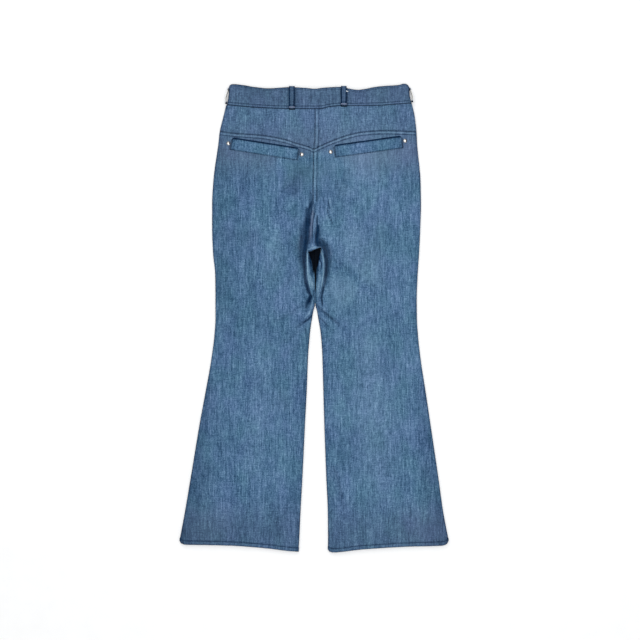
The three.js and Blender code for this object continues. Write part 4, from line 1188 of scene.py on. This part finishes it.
def sew(name, cloth, lines, pitch=3.1, length=2.2, radius=0.36):
    """Running stitches along lines of (x, y) points, each a short thread that dips in at both ends."""
    profile = rows("0 -0.35 0.5, 0.15 0.35 0.85, 0.5 0.6 1, 0.85 0.35 0.85, 1 -0.35 0.5")
    around = np.linspace(0, 2 * math.pi, 6, endpoint=False)
    points, faces = [], []
    for line in lines:
        line = np.array(line, float)
        gaps = np.linalg.norm(np.diff(line, axis=0), axis=1)
        total = np.concatenate([[0], np.cumsum(gaps)])
        for k in range(int(total[-1] / pitch)):
            start, stop = k * pitch, k * pitch + length
            if stop > total[-1]:
                break
            found = [cloth.at(*(np.interp(d, total, axis) for axis in line.T)) for d in (start, stop)]
            if None in found:
                continue
            (start, start_up), (stop, stop_up) = found
            if abs(start[2] - stop[2]) > length:
                continue
            normal = (start_up + stop_up) / np.linalg.norm(start_up + stop_up)
            ahead = (stop - start) / np.linalg.norm(stop - start)
            side = np.cross(normal, ahead)
            faces += tube_faces(len(profile), len(around), len(points))
            for along, lift, swell in profile:
                centre = mix(start, stop, along) + normal * lift * radius
                for a in around:
                    ring = side * math.cos(a) * radius + normal * math.sin(a) * radius * 0.8
                    points.append(centre + ring * swell)
    return mesh_piece(name, np.array(points) * MM, faces)


def across_line(y_of_x, start, stop):
    x = np.linspace(start, stop, 300)
    return np.stack([x, y_of_x(x)], axis=-1)


def down_line(x_of_y, start, stop):
    y = np.linspace(start, stop, 160)
    return np.stack([x_of_y(y), y], axis=-1)


# Materials

class Nodes:
    """Short calls that add nodes to one material."""

    def __init__(self, name):
        self.material = bpy.data.materials.new(name)
        self.material.use_nodes = True
        self.tree = self.material.node_tree
        self.shader = self.tree.nodes["Principled BSDF"]
        self.place = self.node("TexCoord").outputs["Object"]

    def node(self, kind, values=None, **settings):
        made = self.tree.nodes.new("ShaderNode" + kind)
        for key, value in settings.items():
            setattr(made, key, value)
        self.feed(made, values or {})
        return made

    def feed(self, node, values):
        """Gives a node's sockets numbers, colours or the outputs of other nodes."""
        for key, value in values.items():
            socket = node.inputs[key]
            if isinstance(value, bpy.types.NodeSocket):
                self.tree.links.new(value, socket)
            else:
                socket.default_value = (*value, 1) if socket.type == "RGBA" else value

    def math(self, operation, a, b, clamp=False):
        return self.node("Math", {0: a, 1: b}, operation=operation, use_clamp=clamp).outputs[0]

    def noise(self, period, detail, offset=(0, 0, 0)):
        """Noise whose cells measure period millimetres along x, y and z."""
        scale = [1 / (p * MM) for p in period]
        mapping = self.node("Mapping", {"Vector": self.place, "Scale": scale, "Location": offset})
        values = {"Vector": mapping.outputs[0], "Scale": 1, "Detail": detail, "Roughness": 0.5}
        return self.node("TexNoise", values).outputs["Fac"]

    def share(self, name, times):
        """One of the cloth's attributes times a number, held between 0 and 1."""
        attribute = self.node("Attribute", attribute_name=name).outputs["Fac"]
        return self.math("MULTIPLY", attribute, times, clamp=True)

    def ramp(self, value, stops):
        made = self.node("ValToRGB", {"Fac": value})
        ramp = made.color_ramp
        while len(ramp.elements) < len(stops):
            ramp.elements.new(0.5)
        for element, (place, colour) in zip(ramp.elements, stops):
            element.position = place
            element.color = (*colour, 1)
        return made.outputs["Color"]

    def blend(self, kind, share, a, b):
        values = {"Factor": share, "A": a, "B": b}
        return self.node("Mix", values, data_type="RGBA", blend_type=kind).outputs["Result"]


def srgb(r, g, b):
    """A colour given as 0 to 255 screen values, in linear light."""
    return tuple(((c / 255 + 0.055) / 1.055) ** 2.4 if c > 10 else c / 255 / 12.92 for c in (r, g, b))


def denim(name, seed=0.0, gloss=0.07, worn_and_highlight_tones=((114, 148, 174), (150, 184, 204))):
    """Washed denim: slubby vertical yarns, faint weft, patches of hue, painted shade in hollows and
    creases, and painted highlights with wear on ridges.
    """
    m = Nodes(name)
    # Period of each layer in millimetres along x, y and z, its weight and its detail
    layers = rows("""
        2.6 2.8 3 0.4 1, 2.6 15 8 0.34 1, 3 50 8 0.24 1, 9 150 20 0.12 2, 15 2.8 8 0.17 1, 60 90 30 0.16 3
    """)
    value = 0.5
    for i, (*period, weight, detail) in enumerate(layers):
        noise = m.noise(period, detail, (seed + 3.1 * i, 1.7 * i, 0))
        centred = m.math("SUBTRACT", noise, 0.5)
        value = m.math("ADD", m.math("MULTIPLY", centred, weight * 2.1), value)
    wave = {"Vector": m.place, "Scale": 1 / (3.1 * MM), "Distortion": 2.2, "Detail": 1}
    weave = m.node("TexWave", wave, wave_type="BANDS", bands_direction="DIAGONAL").outputs["Fac"]
    fine = m.math("MULTIPLY", m.noise((0.55, 1.3, 1), 1.0, (seed, 4.4, 0)), 0.4)
    fine = m.math("ADD", m.math("MULTIPLY", weave, 0.16), fine)
    toned = m.math("ADD", value, m.math("SUBTRACT", fine, 0.28))
    tones = rows("0 26 54 83, 0.28 50 82 112, 0.5 72 105 136, 0.72 94 127 158, 1 126 158 187")
    yarn = m.ramp(toned, [(place, srgb(*tone)) for place, *tone in tones])
    patches = m.noise((45, 70, 40), 2.0, (seed, 9.3, 0))
    patches = m.ramp(patches, ((0.34, (0.95, 1.02, 0.965)), (0.66, (1.07, 0.98, 1.05))))
    colour = m.blend("MULTIPLY", 1.0, yarn, patches)
    navy = m.ramp(toned, ((0.15, srgb(0, 15, 40)), (0.85, srgb(7, 46, 80))))
    pale = m.ramp(toned, ((0.15, srgb(*worn_and_highlight_tones[0])), (0.85, srgb(*worn_and_highlight_tones[1]))))
    # dark mixes in navy: dark seams, with painted shade in hollows, creases and grooves; below zero it
    # mixes in the pale tones: wear, with painted highlights on ridges, rims and the side loops' edges;
    # deep mixes in the painted shadow at the open crotch's bottom
    for attribute, times, tone in (
        ("warm", 1.0, srgb(92, 98, 122)),
        ("warm", -1.0, srgb(76, 112, 128)),
        ("dark", 0.92, navy),
        ("dark", -0.8, pale),
        ("deep", 0.98, srgb(5, 5, 9)),
    ):
        colour = m.blend("MIX", m.share(attribute, times), colour, tone)
    height = m.math("ADD", m.math("MULTIPLY", fine, 0.9), m.math("MULTIPLY", value, 0.9))
    bump = m.node("Bump", {"Strength": 0.6, "Distance": 0.35 * MM, "Height": height})
    m.feed(m.shader, {"Base Color": colour, "Roughness": 0.92, "Normal": bump.outputs["Normal"]})
    m.feed(m.shader, {"Specular IOR Level": gloss, "Sheen Weight": gloss, "Sheen Roughness": 0.5})
    return m.material


def thread(name, colour, sheen=0.0):
    """Cotton thread with a fine twist along it."""
    m = Nodes(name)
    deep = tuple(c * 0.6 for c in colour)
    tone = m.blend("MIX", m.noise((0.7, 0.7, 0.7), 1.0), deep, colour)
    m.feed(m.shader, {"Base Color": tone, "Roughness": 0.75})
    m.feed(m.shader, {"Specular IOR Level": 0.1, "Sheen Weight": sheen})
    return m.material


def metal(name):
    """Satin nickel with faint handling marks, a darker film in its hollows and painted shade where its
    dark attribute says.
    """
    m = Nodes(name)
    marks = m.noise((1.2, 1.2, 1.2), 4.0)
    tone = m.ramp(marks, ((0.35, (0.62, 0.60, 0.56)), (0.65, (0.86, 0.85, 0.82))))
    tone = m.blend("MIX", m.share("dark", 0.95), tone, (0.035, 0.035, 0.045))
    rough = m.math("ADD", m.math("MULTIPLY", marks, 0.2), 0.16)
    m.feed(m.shader, {"Base Color": tone, "Metallic": 1, "Roughness": rough})
    return m.material


def floor_material():
    m = Nodes("pale_floor")
    grain = m.noise((40, 40, 40), 3.0)
    tone = m.ramp(grain, ((0.3, (0.93, 0.93, 0.93)), (0.7, (0.95, 0.95, 0.95))))
    m.feed(m.shader, {"Base Color": tone, "Roughness": 0.95, "Specular IOR Level": 0.1})
    return m.material


DENIM_CLOTH = denim("washed_denim")
BAND_CLOTH = denim("waistband_denim", seed=5.0)
FRONT_CLOTH = denim("front_denim", seed=2.0, gloss=0.01)
# the side loops' pale tones: a painted highlight on their upper edges
EDGE_CLOTH = denim("side_loop_denim", seed=5.0, worn_and_highlight_tones=((208, 204, 196), (232, 229, 222)))
NAVY_THREAD = thread("navy_thread", srgb(20, 40, 70))
# near-black thread for the side loops' knots and for the painted shadows under the back loops' ends
TACK_AND_SHADOW_THREAD = thread("tack_and_shadow_thread", srgb(5, 8, 20))
PALE_THREAD = thread("pale_thread", srgb(140, 152, 180), sheen=0.1)
WHITE_THREAD = thread("white_thread", srgb(236, 247, 255), sheen=0.2)
NICKEL = metal("satin_nickel")


def dress(piece, material, node=None):
    """Gives a piece its material and slot, and lets it ride on the frame."""
    piece.data.materials.append(material)
    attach(piece, "root")
    if node:
        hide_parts(node)
    return piece


# The cloth


FLOOR_REACH = 3  # metres to each side
corners = [(x * FLOOR_REACH, y * FLOOR_REACH, 0) for x, y in ((-1, -1), (1, -1), (1, 1), (-1, 1))]
stage_floor = mesh_piece("floor", corners, [(0, 1, 2, 3)])
stage_floor.data.materials.append(floor_material())

backs = {side: dress(back_panel(side), DENIM_CLOTH, f"back_{side}") for side in OUT}
yokes = {side: dress(yoke(side), DENIM_CLOTH, f"yoke_{side}") for side in OUT}
fronts = {side: dress(front_panel(side), FRONT_CLOTH, f"front_{side}") for side in OUT}
band = dress(waistband(), BAND_CLOTH, "waistband")
loops = {name: dress(back_loop(name, x), BAND_CLOTH, name) for name, x in BACK_LOOPS.items()}
front_loops = {name: dress(front_loop(name, x), BAND_CLOTH, name) for name, x in FRONT_LOOPS.items()}
side_loops = {side: dress(side_loop(side), EDGE_CLOTH, f"belt_loop_side_{side}") for side in OUT}
welts = {side: dress(welt(side), DENIM_CLOTH, f"pocket_welt_{side}") for side in OUT}
mouths = {side: dress(pocket_mouth_shadow(side), DENIM_CLOTH) for side in OUT}

# The sewing

above = Cloth([*backs.values(), *yokes.values(), band, *welts.values()])
below = Cloth([*fronts.values(), band], from_above=False)


HEM_SPAN = {"left": (-301, -37), "right": (33, 301)}


def hem_line(side):
    x = np.linspace(*HEM_SPAN[side], 200)
    return np.stack([x, hem[side](x) + HEM_DEPTH - 0.6], axis=-1)


def welt_lines(side):
    """Edge stitching round a welt: both ends and the lower edge, a little inside."""
    inset = WELT_INSET / welt_length(side)
    corners = [
        welt_point(side, u, down)
        for u, down in (
            (inset, WELT_INSET),
            (inset, WELT_HEIGHT - WELT_INSET),
            (1 - inset, WELT_HEIGHT - WELT_INSET),
            (1 - inset, WELT_INSET),
        )
    ]
    return [corners[i : i + 2] for i in range(3)]


def welt_tacks(side):
    """Close short stitches down both ends of a welt, which hold its corners."""
    lines = []
    for end, out in ((0, -1), (1, 1)):
        for down in np.arange(2, WELT_HEIGHT, 1.5):
            x, y = welt_point(side, end, down)
            x += out * 1.6
            lines.append([(x - 1.3, y), (x + 1.3, y - 0.7)])
    return lines


sewing = {
    "yoke_stitches": [across_line(lambda x: yoke_seam(x) - d, -211, 229) for d in (1.4, 7.5)],
    "centre_stitches": [
        down_line(lambda y: centre_seam(y) + d, high, low)
        for d, high, low in ((1.3, 470, 384), (8.5, 470, 388), (1.3, 370, 225), (8.5, 372, 262))
    ],
    "waistband_stitches": [
        across_line(lambda x: waist_seam(x) + BAND_STITCHES * 0.98, -192, 215),
        across_line(lambda x: waist_top(x) - BAND_TOP_STITCHES, -186, 209),
    ],
    "hem_stitches": [hem_line(side) for side in OUT],
    "welt_stitches": [line for side in OUT for line in welt_lines(side)],
}
threads = {name: dress(sew(name, above, lines), NAVY_THREAD) for name, lines in sewing.items()}


def fly_line(inset):
    """The curved stitching of the closed fly, on the front below the waistband."""
    turn = np.linspace(0, math.pi / 2, 30)
    reach = 38 - inset
    straight = [(3 - reach, y) for y in np.linspace(float(front_seam(-30)) - 3, 356, 60)]
    bend = [(3 - reach * math.cos(a), 356 - (48 - inset) * math.sin(a)) for a in turn]
    return straight + bend


welt_bars = [line for side in OUT for line in welt_tacks(side)]
dress(sew("welt_tacks", above, welt_bars, pitch=2.6, length=2.5, radius=0.4), NAVY_THREAD)

under_sewing = {
    "fly_stitches": [fly_line(0), fly_line(6)],
    "front_waistband_stitches": [across_line(lambda x: front_seam(x) + BAND_STITCHES, -186, 209)],
    "front_hem_stitches": [hem_line(side) for side in OUT],
    "front_centre_stitches": [down_line(lambda y: centre_seam(y) + 1.5, 462, 262)],
}
for name, lines in under_sewing.items():
    dress(sew(name, below, lines, radius=0.15), NAVY_THREAD)


def bar(name, x0, y0, width, height, material, radius):
    """A bar tack: close zigzag stitches across a belt loop's end, and also a near-black bar used as a
    painted shadow under it.
    """
    count = 14
    lines = []
    for i in range(count):
        x = x0 - width / 2 + width * i / (count - 1)
        lines.append([(x, y0 + height / 2), (x + width / count / 2, y0 - height / 2)])
    dress(sew(name, tack_cloth, lines, height, height * 0.96, radius), material)


tack_cloth = Cloth([*backs.values(), *yokes.values(), band, *loops.values(), *welts.values()])
for loop_name, loop_x in BACK_LOOPS.items():
    seam_y = float(waist_seam(loop_x))
    bar(f"{loop_name}_tack", loop_x, seam_y + 3.1, LOOP_WIDTH - 1.6, 2.4, PALE_THREAD, 0.6)
    # a near-black bar just below the loop's end: a painted shadow
    bar(f"{loop_name}_end", loop_x, seam_y - 1.8, LOOP_WIDTH - 1, 1.7, TACK_AND_SHADOW_THREAD, 0.9)
bar("white_tack", 74.3, 510.4, 3.8, 2.3, WHITE_THREAD, 0.75)


def knot(name, x, y, z):
    """A thick bar tack seen from its end, where a side loop is sewn to the waistband's edge."""
    profile = rows("0.2 0, 1.3 0.1, 1.9 0.8, 2.1 2, 1.9 3.2, 1.3 3.9, 0.2 4")
    dress(lathe(name, profile, 16, (x - 2, y, z), (1, 0, 0)), TACK_AND_SHADOW_THREAD)


for side in OUT:
    for part, t in (("upper", 0.17), ("lower", 0.97)):
        edge = float(band_side[side](t))
        knot_y = mix(LOOP_TOP, float(waist_seam(edge)) + 2, t)
        knot(f"side_loop_{side}_{part}_knot", edge + OUT[side] * 1.2, knot_y, 8.4)

# Rivets and the button

# Radius as a share of RIVET_RADIUS, and height
RIVET_PROFILE = rows("""
    0.94 0, 1 0.2, 1 0.5, 0.95 0.8, 0.82 1, 0.6 1.02, 0.52 1.05, 0.46 1.35, 0.36 1.55, 0.2 1.6, 0.02222 1.6
""") * (RIVET_RADIUS, 1)


def tarnish_and_shade(piece, x, y, toward):
    """Darkens a rivet's rim and the hollow round its middle, as tarnish with some painted shade on the
    rim, and a notch of painted shade on one side.
    """
    spots = np.array([v.co[:] for v in piece.data.vertices]) / MM
    radius = np.hypot(spots[:, 0] - x, spots[:, 1] - y)
    turn = np.arctan2(spots[:, 1] - y, spots[:, 0] - x)
    rim = smooth((radius - RIVET_RADIUS * 0.74) / 0.5)
    hollow = bell(radius - RIVET_RADIUS * 0.6, 0.5)
    notch = smooth((np.cos(turn - toward) - 0.5) / 0.3) * smooth((radius - 0.3) / 0.5)
    set_attribute(piece, "dark", np.clip(0.9 * rim + 0.7 * hollow + notch, 0, 1))


# the side of each rivet that gets its notch of painted shade
NOTCH_ANGLE = {name: math.pi if name == "rivet_left_inner" else 0.2 for name in RIVETS}

for name, (x, y) in RIVETS.items():
    seat, normal = above.at(x, y)
    rivet = lathe(name + "_dome", RIVET_PROFILE, 40, seat + normal * 0.1, normal)
    tarnish_and_shade(rivet, x, y, NOTCH_ANGLE[name])
    dress(rivet, NICKEL, name)

BUTTON_PROFILE = rows("""
    0.2 0.7, 5.9 0.7, 6.5 0.35, 7 0.08, 7.7 0.02, 8.25 0.2, 8.5 0.6, 8.5 1.4, 8.1 1.85, 7.3 2, 3 2, 3 2.6,
    0.2 2.6
""")
button_y = float(front_seam(0.0)) + BAND_HEIGHT / 2
button = lathe("waist_button_disc", BUTTON_PROFILE, 48, (0, button_y, 0), (0, 0, 1))
dress(button, NICKEL, "waist_button")

# Light and camera

scene = bpy.context.scene
scene.view_settings.view_transform = "Standard"
world = bpy.data.worlds.new("studio")
world.use_nodes = True
world.node_tree.nodes["Background"].inputs["Color"].default_value = (0.98, 0.99, 1, 1)
world.node_tree.nodes["Background"].inputs["Strength"].default_value = 0.72
scene.world = world


def softbox(name, place, aim, size, power):
    data = bpy.data.lights.new(name, "AREA")
    data.shape = "RECTANGLE"
    data.size, data.size_y = size
    data.energy = power
    light = bpy.data.objects.new(name, data)
    light.location = place
    light.rotation_euler = (Vector(aim) - Vector(place)).to_track_quat("-Z", "Y").to_euler()
    scene.collection.objects.link(light)


softbox("overhead_softbox", (0.25, 0.1, 3.2), (0, -0.05, 0), (2.4, 2.0), 42)
softbox("waist_side_softbox", (-0.9, 2.4, 1.6), (0, 0, 0), (1.6, 0.8), 14)

CAMERA_HEIGHT = 3.0
FRAME_WIDTH = 1.44  # what the photograph's frame spans at the height of the cloth
CLOTH_HEIGHT = 0.009
SENSOR = 36
camera_data = bpy.data.cameras.new("camera")
camera_data.sensor_width = SENSOR
camera_data.lens = SENSOR * (CAMERA_HEIGHT - CLOTH_HEIGHT) / FRAME_WIDTH
camera = bpy.data.objects.new("camera", camera_data)
camera.location = (0.0133, -0.0042, CAMERA_HEIGHT)
scene.collection.objects.link(camera)
scene.camera = camera
